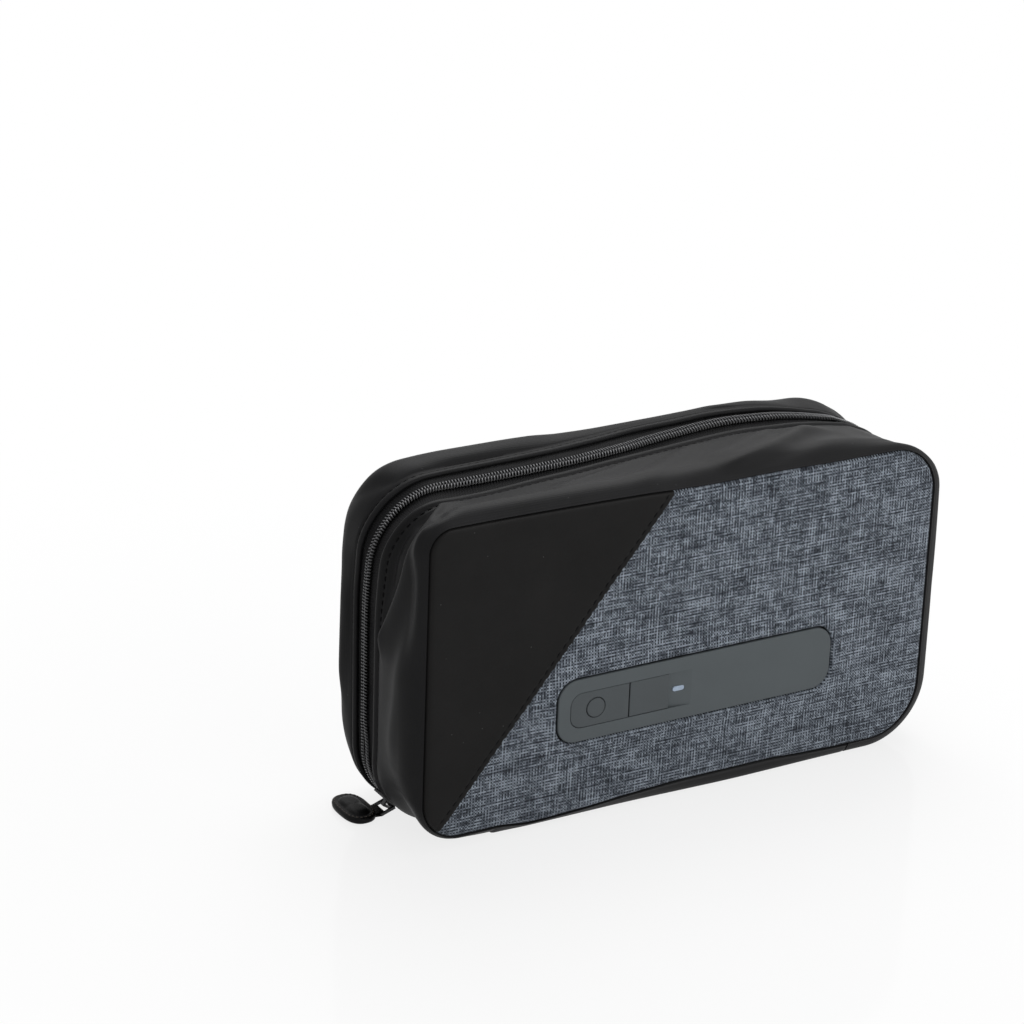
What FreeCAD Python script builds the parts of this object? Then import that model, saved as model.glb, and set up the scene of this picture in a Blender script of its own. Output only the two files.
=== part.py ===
"""Portable UV sterilizer case: a soft zip-round pouch with a lamp and battery module in its front.

Frame: millimetres, X along the width, the front faces -Y, Z is up. The origin is the centre of the
flat base, so the case stands on z = 0. The front half swings down about the seam along its lower edge.
"""
import FreeCAD, Part
import math
import os
import Sketcher

SIZES = (
    ("case_width", 230.0, "outside of the gusset, left to right"),
    ("case_height", 130.0, "base to the top of the gusset"),
    ("case_depth", 62.0, "front panel face to rear panel face"),
    ("corner_radius", 28.0, "corner of the gusset outline"),
    ("seam_inset", 5.0, "case outline to the panel seam"),
    ("seam_gap", 0.2, "panel edge to the gusset lip"),
    ("gusset_wall", 1.6, "padded gusset fabric"),
    ("lip_setback", 2.0, "gusset lip behind the panel face"),
    ("lip_round", 4.0, "roll of the gusset into the panel seam"),
    ("panel_pad", 3.0, "padded panel fabric"),
    ("panel_round", 1.8, "rolled edge of a panel"),
    ("board_thickness", 1.5, "stiffening board"),
    ("board_margin", 2.0, "panel seam to the board edge"),
    ("liner_thickness", 0.5, "reflective lining"),
    ("liner_gap", 0.1, "lining to the layer behind it"),
    ("liner_reach", 7.0, "lining edge to the zip centre"),
    ("diagonal_top", -5.3, "x of the fabric join at the upper panel edge"),
    ("diagonal_foot", -110.8, "x of the fabric join at the lower panel edge"),
    ("zip_plane", 6.5, "y of the zip centre"),
    ("zip_channel", 12.0, "gap between the two gusset edges"),
    ("zip_gap", 1.2, "between the two chain halves"),
    ("tape_thickness", 0.7, "zip tape"),
    ("tape_under", 4.0, "tape sewn below the gusset"),
    ("tape_lap", 4.0, "tape laid on the base at each end"),
    ("tail_gap", 0.5, "zip end tape to the opening gusset"),
    ("chain_width", 2.2, "one half of the coil chain"),
    ("chain_height", 1.5, "chain above its tape"),
    ("base_margin", 36.0, "case side to the end of the base strip"),
    ("base_gap", 0.3, "base end to the opening gusset"),
    ("pleat_thickness", 0.6, "folded corner web"),
    ("pleat_height", 2.5, "folded corner web above the base"),
    ("fascia_width", 121.0, "control fascia"),
    ("fascia_height", 25.5, "control fascia"),
    ("fascia_radius", 8.0, "corner of the fascia"),
    ("fascia_x", 5.4, "fascia centre from the case centre"),
    ("fascia_z", 46.1, "fascia centre above the base"),
    ("fascia_proud", 1.0, "fascia flange in front of the panel"),
    ("fascia_rim", 2.5, "flange overlap on the panel"),
    ("fascia_body", 2.5, "fascia behind its flange"),
    ("fascia_round", 0.6, "edge of the flange"),
    ("window_gap", 0.2, "fascia body in the panel window"),
    ("insert_margin", 5.2, "left fascia end to the insert"),
    ("insert_length", 43.0, "key pad and port flap together"),
    ("insert_height", 14.4, "key pad and port flap"),
    ("insert_radius", 5.0, "left corners of the key pad"),
    ("insert_depth", 1.3, "insert recess in the fascia"),
    ("insert_gap", 0.2, "insert edges to the recess"),
    ("pad_length", 25.5, "key pad up to the flap groove"),
    ("groove_width", 0.4, "between key pad and flap"),
    ("ramp_length", 9.7, "finger ramp beside the flap"),
    ("button_offset", 11.0, "left end of the insert to the button centre"),
    ("button_diameter", 7.6, "power button cap"),
    ("button_gap", 0.3, "cap to its hole"),
    ("button_height", 2.0, "cap thickness"),
    ("button_proud", 0.15, "cap in front of the key pad"),
    ("plunger_diameter", 3.4, "switch plunger"),
    ("plunger_length", 2.2, "cap back to the plunger tip"),
    ("switch_side", 6.0, "tact switch"),
    ("switch_bore", 2.0, "depth of the plunger bore"),
    ("indicator_offset", 4.4, "ramp start to the indicator centre"),
    ("indicator_length", 5.2, "indicator window"),
    ("indicator_height", 2.0, "indicator window"),
    ("indicator_radius", 0.98, "round ends of the indicator window"),
    ("lens_gap", 0.05, "light pipe in its window"),
    ("indicator_sink", 0.6, "indicator face behind the flange face"),
    ("indicator_flange", 0.8, "flange of the light pipe"),
    ("port_offset", 8.8, "flap groove to the charging port centre"),
    ("port_width", 9.0, "charging port shell"),
    ("port_height", 3.3, "charging port shell"),
    ("port_radius", 1.5, "corner of the charging port shell"),
    ("port_wall", 0.35, "charging port shell"),
    ("port_gap", 0.25, "shell in the fascia opening"),
    ("port_sink", 0.2, "shell mouth behind the recess floor"),
    ("tongue_width", 6.6, "contact tongue"),
    ("tongue_thickness", 0.7, "contact tongue"),
    ("tongue_back", 0.9, "tongue tip behind the shell mouth"),
    ("plug_depth", 0.8, "sealing boss on the flap"),
    ("plug_gap", 0.6, "sealing boss inside the fascia opening"),
    ("standoff", 4.0, "fascia back to the main board"),
    ("post_diameter", 4.0, "board posts on the fascia"),
    ("pcb_thickness", 1.2, "circuit boards"),
    ("main_board_play", 7.5, "main board end to the housing"),
    ("board_play", 1.25, "board edges to the housing"),
    ("housing_depth", 17.5, "module housing behind the fascia"),
    ("housing_wall", 1.5, "sides of the housing"),
    ("housing_back", 2.4, "rear wall of the housing"),
    ("flange_width", 3.0, "housing flange over the lining"),
    ("flange_thickness", 1.0, "housing flange"),
    ("battery_length", 56.0, "battery cell"),
    ("battery_thickness", 7.0, "battery cell"),
    ("battery_play", 1.75, "battery edges to the housing"),
    ("battery_gap", 2.0, "battery end to the right screw"),
    ("lamp_board_play", 2.5, "lamp board end to the housing"),
    ("led_margin", 15.0, "screw to the nearest lamp"),
    ("led_side", 3.5, "lamp package"),
    ("led_height", 1.2, "lamp package"),
    ("led_bore", 7.0, "light opening in the housing"),
    ("quartz_diameter", 9.0, "lamp window"),
    ("quartz_thickness", 1.0, "lamp window"),
    ("quartz_gap", 0.1, "lamp window in its seat"),
    ("screw_margin", 6.5, "screw to the end of the housing"),
    ("screw_diameter", 2.2, "screw shank"),
    ("screw_length", 5.0, "screw shank"),
    ("screw_gap", 0.1, "shank to its hole"),
    ("head_diameter", 4.2, "screw head"),
    ("head_height", 1.3, "screw head"),
    ("slider_angle", 56.0, "slider below the left side, in degrees round the corner"),
    ("slider_arc_angle", 24.0, "slider length, in degrees round the corner"),
    ("slider_free_angle", 3.0, "chain end to the slider, in degrees"),
    ("slider_gap", 0.2, "slider plates to the chain and tape"),
    ("slider_plate", 0.9, "slider plates"),
    ("slider_cheek", 1.2, "slider side walls"),
    ("cheek_gap", 0.4, "slider side walls to the chain"),
    ("post_width", 0.7, "slider post between the chain halves"),
    ("post_arc_angle", 7.0, "slider post, in degrees"),
    ("bridge_width", 1.8, "slider bridge"),
    ("bridge_bar", 0.8, "slider bridge"),
    ("bridge_hole", 1.7, "opening under the bridge"),
    ("bridge_length", 3.6, "opening under the bridge, along the zip"),
    ("link_bar", 1.0, "pull link"),
    ("link_reach", 5.1, "pull link from bar to bar"),
    ("link_opening", 6.2, "pull link inside width"),
    ("link_slope_angle", 19.0, "rest slope of the link, in degrees"),
    ("neck_gap", 0.2, "pull tab neck in the link"),
    ("pull_thickness", 2.6, "pull tab"),
    ("pull_length", 13.0, "oval of the pull tab, away from the case"),
    ("pull_width", 22.0, "oval of the pull tab, along the case"),
    ("pull_radius", 6.3, "corner of the oval"),
    ("pull_shift", 5.0, "oval centre behind the link"),
    ("pull_reach", 7.35, "oval centre beyond the link bar"),
    ("neck_lip", 0.7, "tab material round the link bar"),
    ("pull_rim", 2.6, "stitched rim of the pull tab"),
    ("pull_raise", 0.6, "padded centre of the pull tab"),
)

LED_COUNT = 4
SIDES = (("left", -1), ("right", 1))
TOLERANCE = 1e-4
UP = FreeCAD.Vector(0, 0, 1)
ALONG_Y = FreeCAD.Vector(0, 1, 0)

doc = FreeCAD.newDocument("uv_sterilizer_case")
sheet = doc.addObject("Spreadsheet::Sheet", "Sizes")
for row, (alias, number, note) in enumerate(SIZES, start=1):
    sheet.set(f"A{row}", alias)
    sheet.set(f"B{row}", str(number))
    sheet.set(f"C{row}", note)
    sheet.setAlias(f"B{row}", alias)
doc.recompute()

subparts = []


class Size:
    """A number with the sheet expression that yields it, so sketches start where they end."""

    def __init__(self, value, text):
        self.value = value
        self.text = text

    def __add__(self, other):
        other = as_size(other)
        return Size(self.value + other.value, f"({self.text} + {other.text})")

    def __sub__(self, other):
        other = as_size(other)
        return Size(self.value - other.value, f"({self.text} - {other.text})")

    def __mul__(self, other):
        other = as_size(other)
        return Size(self.value * other.value, f"({self.text} * {other.text})")

    def __truediv__(self, other):
        other = as_size(other)
        return Size(self.value / other.value, f"({self.text} / {other.text})")

    def __neg__(self):
        return Size(-self.value, f"(0 - {self.text})")


def as_size(number):
    """Wrap a plain count as a Size."""
    if isinstance(number, Size):
        return number
    return Size(float(number), str(number))


def size(alias):
    """Read one cell of the sheet."""
    return Size(float(sheet.get(alias)), f"Sizes.{alias}")


def sine(angle):
    """Sine of a Size in degrees."""
    return Size(math.sin(math.radians(angle.value)), f"sin({angle.text} * 1 deg)")


def cosine(angle):
    """Cosine of a Size in degrees."""
    return Size(math.cos(math.radians(angle.value)), f"cos({angle.text} * 1 deg)")


def bind(item, name, value):
    """Bind one property to its sheet expression."""
    item.setExpression(name, as_size(value).text)


def place(item, x=0, y=0, z=0, rotation=None):
    """Bind the position of a sub-part and set its turn."""
    spot = [as_size(value) for value in (x, y, z)]
    base = FreeCAD.Vector(*(value.value for value in spot))
    item.Placement = FreeCAD.Placement(base, rotation or FreeCAD.Rotation())
    for axis, value in zip("xyz", spot):
        bind(item, f"Placement.Base.{axis}", value)


def new_body(label):
    """Start a sub-part."""
    body = doc.addObject("PartDesign::Body", label)
    body.Label = label
    subparts.append(body)
    return body


def new_sketch(body, role="XZ_Plane", lift=0):
    """Add a sketch on one of the body's own planes, lifted along the plane's normal."""
    sketch = body.newObject("Sketcher::SketchObject", f"{body.Name}_sketch")
    support = next(item for item in body.Origin.OriginFeatures if item.Role == role)
    sketch.AttachmentSupport = (support, [""])
    sketch.MapMode = "FlatFace"
    bind(sketch, "AttachmentOffset.Base.z", lift)
    return sketch


def drive(sketch, kind, *references):
    """Add a dimension whose last reference is a Size, and bind it."""
    value = as_size(references[-1])
    index = sketch.addConstraint(Sketcher.Constraint(kind, *references[:-1], value.value))
    sketch.setExpression(f"Constraints[{index}]", value.text)


def pin(sketch, element, point, across, up):
    """Fix a point of the sketch by its two distances from the origin."""
    drive(sketch, "DistanceX", -1, 1, element, point, across)
    drive(sketch, "DistanceY", -1, 1, element, point, up)


def draw_polygon(sketch, points):
    """Draw a closed outline of straight sides through pinned points."""
    spots = [FreeCAD.Vector(as_size(across).value, as_size(up).value, 0) for across, up in points]
    first = sketch.GeometryCount
    for start, end in zip(spots, spots[1:] + spots[:1]):
        sketch.addGeometry(Part.LineSegment(start, end))
    count = len(spots)
    for step in range(count):
        following = first + (step + 1) % count
        sketch.addConstraint(Sketcher.Constraint("Coincident", first + step, 2, following, 1))
    for step, (across, up) in enumerate(points):
        pin(sketch, first + step, 1, across, up)


def draw_box(sketch, left, right, low, high):
    """Draw a rectangle by its four sides."""
    draw_polygon(sketch, [(left, low), (right, low), (right, high), (left, high)])


def draw_rounded(sketch, left, right, low, high, radius, corners=(True, True, True, True)):
    """Draw a rectangle whose chosen corners are arcs, from the lower right corner round to the left."""
    sides = [as_size(value) for value in (left, right, low, high)]
    west, east, south, north = (value.value for value in sides)
    bend = radius.value
    spots = ((east, south), (east, north), (west, north), (west, south))
    turns = ((1, 0), (0, 1), (-1, 0), (0, -1))
    lines = []
    arcs = []
    for step in range(4):
        before = bend if corners[step - 1] else 0
        after = bend if corners[step] else 0
        start = FreeCAD.Vector(*spots[step - 1], 0) + FreeCAD.Vector(*turns[step], 0) * before
        end = FreeCAD.Vector(*spots[step], 0) - FreeCAD.Vector(*turns[step], 0) * after
        lines.append(sketch.addGeometry(Part.LineSegment(start, end)))
    for step in range(4):
        ahead = lines[(step + 1) % 4]
        if not corners[step]:
            sketch.addConstraint(Sketcher.Constraint("Coincident", lines[step], 2, ahead, 1))
            continue
        leave = FreeCAD.Vector(*turns[step], 0)
        onward = FreeCAD.Vector(*turns[(step + 1) % 4], 0)
        centre = FreeCAD.Vector(*spots[step], 0) + (onward - leave) * bend
        begin = math.radians(-90 + 90 * step)
        circle = Part.Circle(centre, UP, bend)
        arc = sketch.addGeometry(Part.ArcOfCircle(circle, begin, begin + math.pi / 2))
        sketch.addConstraint(Sketcher.Constraint("Tangent", lines[step], 2, arc, 1))
        sketch.addConstraint(Sketcher.Constraint("Tangent", arc, 2, ahead, 1))
        arcs.append(arc)
    for line, kind in zip(lines, ("Horizontal", "Vertical", "Horizontal", "Vertical")):
        sketch.addConstraint(Sketcher.Constraint(kind, line))
    for arc in arcs[1:]:
        sketch.addConstraint(Sketcher.Constraint("Equal", arcs[0], arc))
    drive(sketch, "Radius", arcs[0], radius)
    for line, kind, value in (
        (lines[3], "DistanceX", sides[0]),
        (lines[1], "DistanceX", sides[1]),
        (lines[0], "DistanceY", sides[2]),
        (lines[2], "DistanceY", sides[3]),
    ):
        drive(sketch, kind, -1, 1, line, 1, value)


def draw_circle(sketch, across, up, diameter):
    """Draw a circle by its centre and diameter."""
    across, up = as_size(across), as_size(up)
    circle = Part.Circle(FreeCAD.Vector(across.value, up.value, 0), UP, diameter.value / 2)
    index = sketch.addGeometry(circle)
    pin(sketch, index, 3, across, up)
    drive(sketch, "Diameter", index, diameter)


def draw_outline(sketch, inset):
    """Draw the case outline, moved inwards."""
    draw_rounded(
        sketch,
        left=inset - case_width / 2,
        right=case_width / 2 - inset,
        low=inset,
        high=case_height - inset,
        radius=corner_radius - inset,
    )


def pad(body, sketch, length, backwards=True, symmetric=False):
    """Extrude a sketch, towards +Y for one on the XZ plane."""
    feature = body.newObject("PartDesign::Pad", f"{body.Name}_pad")
    feature.Profile = sketch
    feature.Reversed = backwards
    if symmetric:
        feature.SideType = "Symmetric"
    bind(feature, "Length", length)
    doc.recompute()
    return feature


def pocket(body, sketch, length=None):
    """Cut a sketch through the body, or to a depth, away from the sketch's normal."""
    before = body.Shape.Volume
    feature = body.newObject("PartDesign::Pocket", f"{body.Name}_pocket")
    feature.Profile = sketch
    if length is None:
        feature.Type = "ThroughAll"
    else:
        bind(feature, "Length", length)
    doc.recompute()
    if not body.Shape.Volume < before:
        raise RuntimeError(f"{body.Label}: a cut removed nothing")
    return feature


def revolve(body, sketch, angle):
    """Turn a sketch about the body's Y axis, half of the angle to each side."""
    feature = body.newObject("PartDesign::Revolution", f"{body.Name}_revolution")
    feature.Profile = sketch
    feature.ReferenceAxis = (sketch, ["V_Axis"])
    feature.Midplane = True
    bind(feature, "Angle", angle)
    doc.recompute()
    return feature


def round_edges(body, feature, radius, chosen):
    """Fillet the edges of the last feature that a test picks out."""
    names = [f"Edge{index}" for index, edge in enumerate(feature.Shape.Edges, start=1) if chosen(edge)]
    fillet = body.newObject("PartDesign::Fillet", f"{body.Name}_fillet")
    fillet.Base = (feature, names)
    bind(fillet, "Radius", radius)
    doc.recompute()
    return fillet


def lies_at(level):
    """Make a test for edges that lie in the plane y = level."""

    def test(edge):
        box = edge.BoundBox
        return abs(box.YMin - level) < TOLERANCE and abs(box.YMax - level) < TOLERANCE

    return test


def new_block(label, corner, extents):
    """Add a plain box by its lower corner and its three lengths."""
    block = doc.addObject("Part::Box", label)
    block.Label = label
    for name, value in zip(("Length", "Width", "Height"), extents):
        bind(block, name, value)
    place(block, *corner)
    subparts.append(block)
    return block


TURNED = FreeCAD.Rotation(UP, 180)

case_width = size("case_width")
case_height = size("case_height")
case_depth = size("case_depth")
corner_radius = size("corner_radius")
seam_inset = size("seam_inset")
gusset_wall = size("gusset_wall")
lip_round = size("lip_round")
liner_thickness = size("liner_thickness")
zip_plane = size("zip_plane")
half_base = case_width / 2 - size("base_margin")
panel_face = case_depth / 2
lip_face = panel_face - size("lip_setback")
panel_back = panel_face - size("panel_pad")
board_back = panel_back - size("board_thickness")
liner_back = board_back - size("liner_gap")
tape_inset = gusset_wall + size("tape_thickness")
liner_inset = tape_inset + size("liner_gap")
half_channel = size("zip_channel") / 2
half_gap = size("zip_gap") / 2

fascia_x = size("fascia_x")
fascia_z = size("fascia_z")
half_fascia = size("fascia_width") / 2
half_fascia_height = size("fascia_height") / 2
fascia_rim = size("fascia_rim")
fascia_proud = size("fascia_proud")
fascia_face = -panel_face - fascia_proud
fascia_thickness = fascia_proud + size("fascia_body")
fascia_back = fascia_face + fascia_thickness
insert_left = size("insert_margin") - half_fascia
insert_right = insert_left + size("insert_length")
half_insert = size("insert_height") / 2
insert_depth = size("insert_depth")
insert_gap = size("insert_gap")
groove = insert_left + size("pad_length")
button_x = insert_left + size("button_offset")
button_bore = size("button_diameter") + size("button_gap") * 2
indicator_x = insert_right + size("indicator_offset")
half_port = size("port_width") / 2
half_port_height = size("port_height") / 2
port_x = groove + size("port_offset")
port_gap = size("port_gap")
board_face = fascia_back + size("standoff")
housing_end = fascia_back + size("housing_depth")
housing_inside = housing_end - size("housing_back")
half_housing = half_fascia - fascia_rim - size("housing_wall")
half_housing_height = half_fascia_height - fascia_rim - size("housing_wall")
half_main_board = half_housing - size("main_board_play")
half_board_height = half_housing_height - size("board_play")
screw_reach = half_housing - size("screw_margin")
led_pitch = (screw_reach - size("led_margin")) * 2 / (LED_COUNT - 1)


def draw_window(sketch, across, up, growth):
    """Draw the outline of the fascia body round a centre, grown on every side."""
    draw_rounded(
        sketch,
        left=across - half_fascia + fascia_rim - growth,
        right=across + half_fascia - fascia_rim + growth,
        low=up - half_fascia_height + fascia_rim - growth,
        high=up + half_fascia_height - fascia_rim + growth,
        radius=size("fascia_radius") - fascia_rim + growth,
    )


def cut_box(body, left, right, low, high):
    """Cut a rectangle right through a layer."""
    sketch = new_sketch(body)
    draw_box(sketch, left, right, low, high)
    pocket(body, sketch)


def cut_base(body, growth):
    """End a layer at the base strip, along the bottom."""
    cut_box(body, -half_base - growth, half_base + growth, -seam_inset, seam_inset + gusset_wall)


def cut_window(body):
    """Open a panel layer for the body of the fascia."""
    sketch = new_sketch(body)
    draw_window(sketch, fascia_x, fascia_z, size("window_gap"))
    pocket(body, sketch)


def make_gusset(label, reach, base_growth):
    """One half of the side wall: a band round the case that rolls in to the panel seam."""
    body = new_body(label)
    sketch = new_sketch(body)
    draw_outline(sketch, as_size(0))
    block = pad(body, sketch, reach)
    round_edges(body, block, lip_round, lies_at(0))
    sketch = new_sketch(body, lift=-gusset_wall)
    draw_outline(sketch, gusset_wall)
    hollow = pocket(body, sketch)
    round_edges(body, hollow, lip_round - gusset_wall, lies_at(gusset_wall.value))
    sketch = new_sketch(body)
    draw_outline(sketch, seam_inset)
    pocket(body, sketch)
    cut_base(body, base_growth)
    return body


def make_panel(label):
    """A padded face panel with a rolled edge."""
    body = new_body(label)
    sketch = new_sketch(body)
    draw_outline(sketch, seam_inset + size("seam_gap"))
    sheet_pad = pad(body, sketch, size("panel_pad"))
    round_edges(body, sheet_pad, size("panel_round"), lies_at(0))
    return body


def make_board(label):
    """A stiffening board behind a panel."""
    body = new_body(label)
    sketch = new_sketch(body)
    draw_outline(sketch, seam_inset + size("board_margin"))
    pad(body, sketch, size("board_thickness"))
    return body


def make_liner(label, reach):
    """The reflective tray inside one half."""
    body = new_body(label)
    sketch = new_sketch(body)
    draw_outline(sketch, liner_inset)
    pad(body, sketch, reach)
    sketch = new_sketch(body, lift=-liner_thickness)
    draw_outline(sketch, liner_inset + liner_thickness)
    pocket(body, sketch)
    cut_base(body, size("base_gap"))
    return body


def make_band(label, outer, inner, width):
    """A flat band that follows the case outline."""
    body = new_body(label)
    sketch = new_sketch(body)
    draw_outline(sketch, outer)
    draw_outline(sketch, inner)
    pad(body, sketch, width)
    return body


# Front half: gusset, panel, board, lining, zip tape and chain.

front_gusset = make_gusset("front_gusset", lip_face + zip_plane - half_channel, size("base_gap"))
place(front_gusset, y=-lip_face)

diagonal_rise = case_height + seam_inset
diagonal_run = size("diagonal_top") - size("diagonal_foot")
diagonal_over = size("diagonal_top") + diagonal_run * seam_inset / case_height
diagonal_under = size("diagonal_foot") - diagonal_run * seam_inset / case_height
half_join = size("seam_gap") / 2

heather = make_panel("front_panel_heather")
sketch = new_sketch(heather)
draw_polygon(
    sketch,
    [
        (diagonal_over + half_join, diagonal_rise),
        (-case_width, diagonal_rise),
        (-case_width, -seam_inset),
        (diagonal_under + half_join, -seam_inset),
    ],
)
pocket(heather, sketch)
cut_window(heather)
place(heather, y=-panel_face)

overlay = make_panel("front_panel_black")
sketch = new_sketch(overlay)
draw_polygon(
    sketch,
    [
        (diagonal_over - half_join, diagonal_rise),
        (diagonal_under - half_join, -seam_inset),
        (case_width, -seam_inset),
        (case_width, diagonal_rise),
    ],
)
pocket(overlay, sketch)
place(overlay, y=-panel_face)

front_board = make_board("front_board")
cut_window(front_board)
place(front_board, y=-panel_back)

front_liner = make_liner("front_liner", liner_back + zip_plane - size("liner_reach"))
cut_window(front_liner)
place(front_liner, y=-liner_back)

slider_angle = size("slider_angle")
chain_stop = slider_angle - size("slider_arc_angle") / 2 - size("slider_free_angle")
chain_end = corner_radius - (corner_radius - gusset_wall) * sine(chain_stop)
tape_width = half_channel + size("tape_under") - half_gap

tape_front = make_band("zip_tape_front", gusset_wall, tape_inset, tape_width)
cut_base(tape_front, size("base_gap"))
cut_box(tape_front, -case_width, 0, -seam_inset, chain_end)
place(tape_front, y=zip_plane - half_gap - tape_width)

chain_inset = gusset_wall - size("chain_height")
chain_front = make_band("zip_chain_front", chain_inset, gusset_wall, size("chain_width"))
cut_base(chain_front, size("base_gap"))
cut_box(chain_front, -case_width, 0, -seam_inset, chain_end)
place(chain_front, y=zip_plane - half_gap - size("chain_width"))

# Rear half: the same layers turned about the vertical, with the base strip below.

rear_gusset = make_gusset("rear_gusset", lip_face - zip_plane - half_channel, as_size(0))
place(rear_gusset, y=lip_face, rotation=TURNED)

rear_panel = make_panel("rear_panel")
place(rear_panel, y=panel_face, rotation=TURNED)

rear_board = make_board("rear_board")
place(rear_board, y=panel_back, rotation=TURNED)

rear_liner = make_liner("rear_liner", liner_back - zip_plane - size("liner_reach"))
place(rear_liner, y=liner_back, rotation=TURNED)

tape_rear = make_band("zip_tape_rear", gusset_wall, tape_inset, tape_width)
cut_base(tape_rear, -size("tape_lap"))
place(tape_rear, y=zip_plane + half_gap)

chain_rear = make_band("zip_chain_rear", chain_inset, gusset_wall, size("chain_width"))
cut_base(chain_rear, as_size(0))
place(chain_rear, y=zip_plane + half_gap)

tail_width = half_channel - size("tail_gap") - half_gap
tail = make_band("zip_tape_tail", gusset_wall, tape_inset, tail_width)
cut_box(tail, size("tape_lap") - half_base, case_width, -seam_inset, case_height + seam_inset)
cut_box(tail, -case_width, 0, chain_end - size("tail_gap"), case_height + seam_inset)
place(tail, y=zip_plane - half_gap - tail_width)

base = new_body("base_panel")
sketch = new_sketch(base, "YZ_Plane")
draw_box(sketch, -lip_face, lip_face, 0, seam_inset)
strip = pad(base, sketch, half_base * 2, symmetric=True)


def runs_low(level):
    """Make a test for the long edges of the base at one height."""

    def test(edge):
        box = edge.BoundBox
        return box.XLength > half_base.value and abs(box.ZMin - level) < TOLERANCE

    return test


round_edges(base, strip, lip_round, runs_low(0))
sketch = new_sketch(base, "YZ_Plane", lift=half_base)
draw_box(sketch, gusset_wall - lip_face, lip_face - gusset_wall, gusset_wall, seam_inset * 2)
trough = pocket(base, sketch)
round_edges(base, trough, lip_round - gusset_wall, runs_low(gusset_wall.value))
place(base)

liner_half = half_base - size("tape_lap") - size("tail_gap")
liner_start = lip_round - lip_face
liner_stop = zip_plane + size("liner_reach")
new_block(
    "base_liner",
    (-liner_half, liner_start, gusset_wall),
    (liner_half * 2, liner_stop - liner_start, liner_thickness),
)

pleat_thickness = size("pleat_thickness")
pleat_start = half_base - size("base_gap") - pleat_thickness
pleat_run = zip_plane - half_channel - size("tail_gap") - liner_start
for side, sign in SIDES:
    pleat_low = pleat_start if sign > 0 else -pleat_start - pleat_thickness
    new_block(
        f"corner_pleat_{side}",
        (pleat_low, liner_start, gusset_wall),
        (pleat_thickness, pleat_run, size("pleat_height")),
    )

# Control module: fascia with its key pad, indicator, port and the housing behind.

fascia = new_body("fascia")
sketch = new_sketch(fascia)
draw_rounded(
    sketch, -half_fascia, half_fascia, -half_fascia_height, half_fascia_height, size("fascia_radius")
)
flange = pad(fascia, sketch, fascia_proud)
round_edges(fascia, flange, size("fascia_round"), lies_at(0))
sketch = new_sketch(fascia, lift=-fascia_proud)
draw_window(sketch, as_size(0), as_size(0), as_size(0))
pad(fascia, sketch, size("fascia_body"))
for across in ((button_x + port_x) / 2, half_main_board - size("post_diameter")):
    sketch = new_sketch(fascia, lift=-fascia_thickness)
    draw_circle(sketch, across, 0, size("post_diameter"))
    pad(fascia, sketch, size("standoff"))
sketch = new_sketch(fascia)
draw_rounded(
    sketch,
    insert_left,
    insert_right,
    -half_insert,
    half_insert,
    size("insert_radius"),
    corners=(False, False, True, True),
)
pocket(fascia, sketch, insert_depth)
sketch = new_sketch(fascia, "XY_Plane", lift=half_insert)
ramp_end = insert_right + size("ramp_length")
draw_polygon(
    sketch,
    [
        (insert_right - insert_gap, -fascia_proud),
        (insert_right - insert_gap, insert_depth),
        (insert_right, insert_depth),
        (ramp_end, 0),
        (ramp_end, -fascia_proud),
    ],
)
pocket(fascia, sketch, half_insert * 2)
sketch = new_sketch(fascia)
draw_circle(sketch, button_x, 0, button_bore)
half_indicator = size("indicator_length") / 2
half_indicator_height = size("indicator_height") / 2
draw_rounded(
    sketch,
    indicator_x - half_indicator,
    indicator_x + half_indicator,
    -half_indicator_height,
    half_indicator_height,
    size("indicator_radius"),
)
draw_box(
    sketch,
    port_x - half_port - port_gap,
    port_x + half_port + port_gap,
    -half_port_height - port_gap,
    half_port_height + port_gap,
)
pocket(fascia, sketch)
place(fascia, fascia_x, fascia_face, fascia_z)

key_pad = new_body("key_pad")
sketch = new_sketch(key_pad)
draw_rounded(
    sketch,
    insert_left + insert_gap,
    groove - size("groove_width") / 2,
    insert_gap - half_insert,
    half_insert - insert_gap,
    size("insert_radius") - insert_gap,
    corners=(False, False, True, True),
)
draw_circle(sketch, button_x, 0, button_bore)
pad(key_pad, sketch, insert_depth)
place(key_pad, fascia_x, fascia_face, fascia_z)

flap = new_body("port_flap")
sketch = new_sketch(flap)
draw_box(
    sketch,
    groove + size("groove_width") / 2,
    insert_right - insert_gap,
    insert_gap - half_insert,
    half_insert - insert_gap,
)
pad(flap, sketch, insert_depth - insert_gap)
sketch = new_sketch(flap, lift=insert_gap - insert_depth)
plug_gap = size("plug_gap") + size("port_wall")
draw_box(
    sketch,
    port_x - half_port + plug_gap,
    port_x + half_port - plug_gap,
    plug_gap - half_port_height,
    half_port_height - plug_gap,
)
pad(flap, sketch, size("plug_depth"))
place(flap, fascia_x, fascia_face, fascia_z)

cap = new_body("button_cap")
sketch = new_sketch(cap)
draw_circle(sketch, 0, 0, size("button_diameter"))
pad(cap, sketch, size("button_height"))
cap_face = fascia_face - size("button_proud")
place(cap, fascia_x + button_x, cap_face, fascia_z)

plunger = new_body("switch_plunger")
sketch = new_sketch(plunger)
draw_circle(sketch, 0, 0, size("plunger_diameter"))
pad(plunger, sketch, size("plunger_length"))
place(plunger, fascia_x + button_x, cap_face + size("button_height"), fascia_z)

switch = new_body("tact_switch")
half_switch = size("switch_side") / 2
sketch = new_sketch(switch)
draw_box(sketch, -half_switch, half_switch, -half_switch, half_switch)
pad(switch, sketch, size("standoff"))
sketch = new_sketch(switch)
draw_circle(sketch, 0, 0, size("plunger_diameter") + size("button_gap"))
pocket(switch, sketch, size("switch_bore"))
place(switch, fascia_x + button_x, fascia_back, fascia_z)

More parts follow.
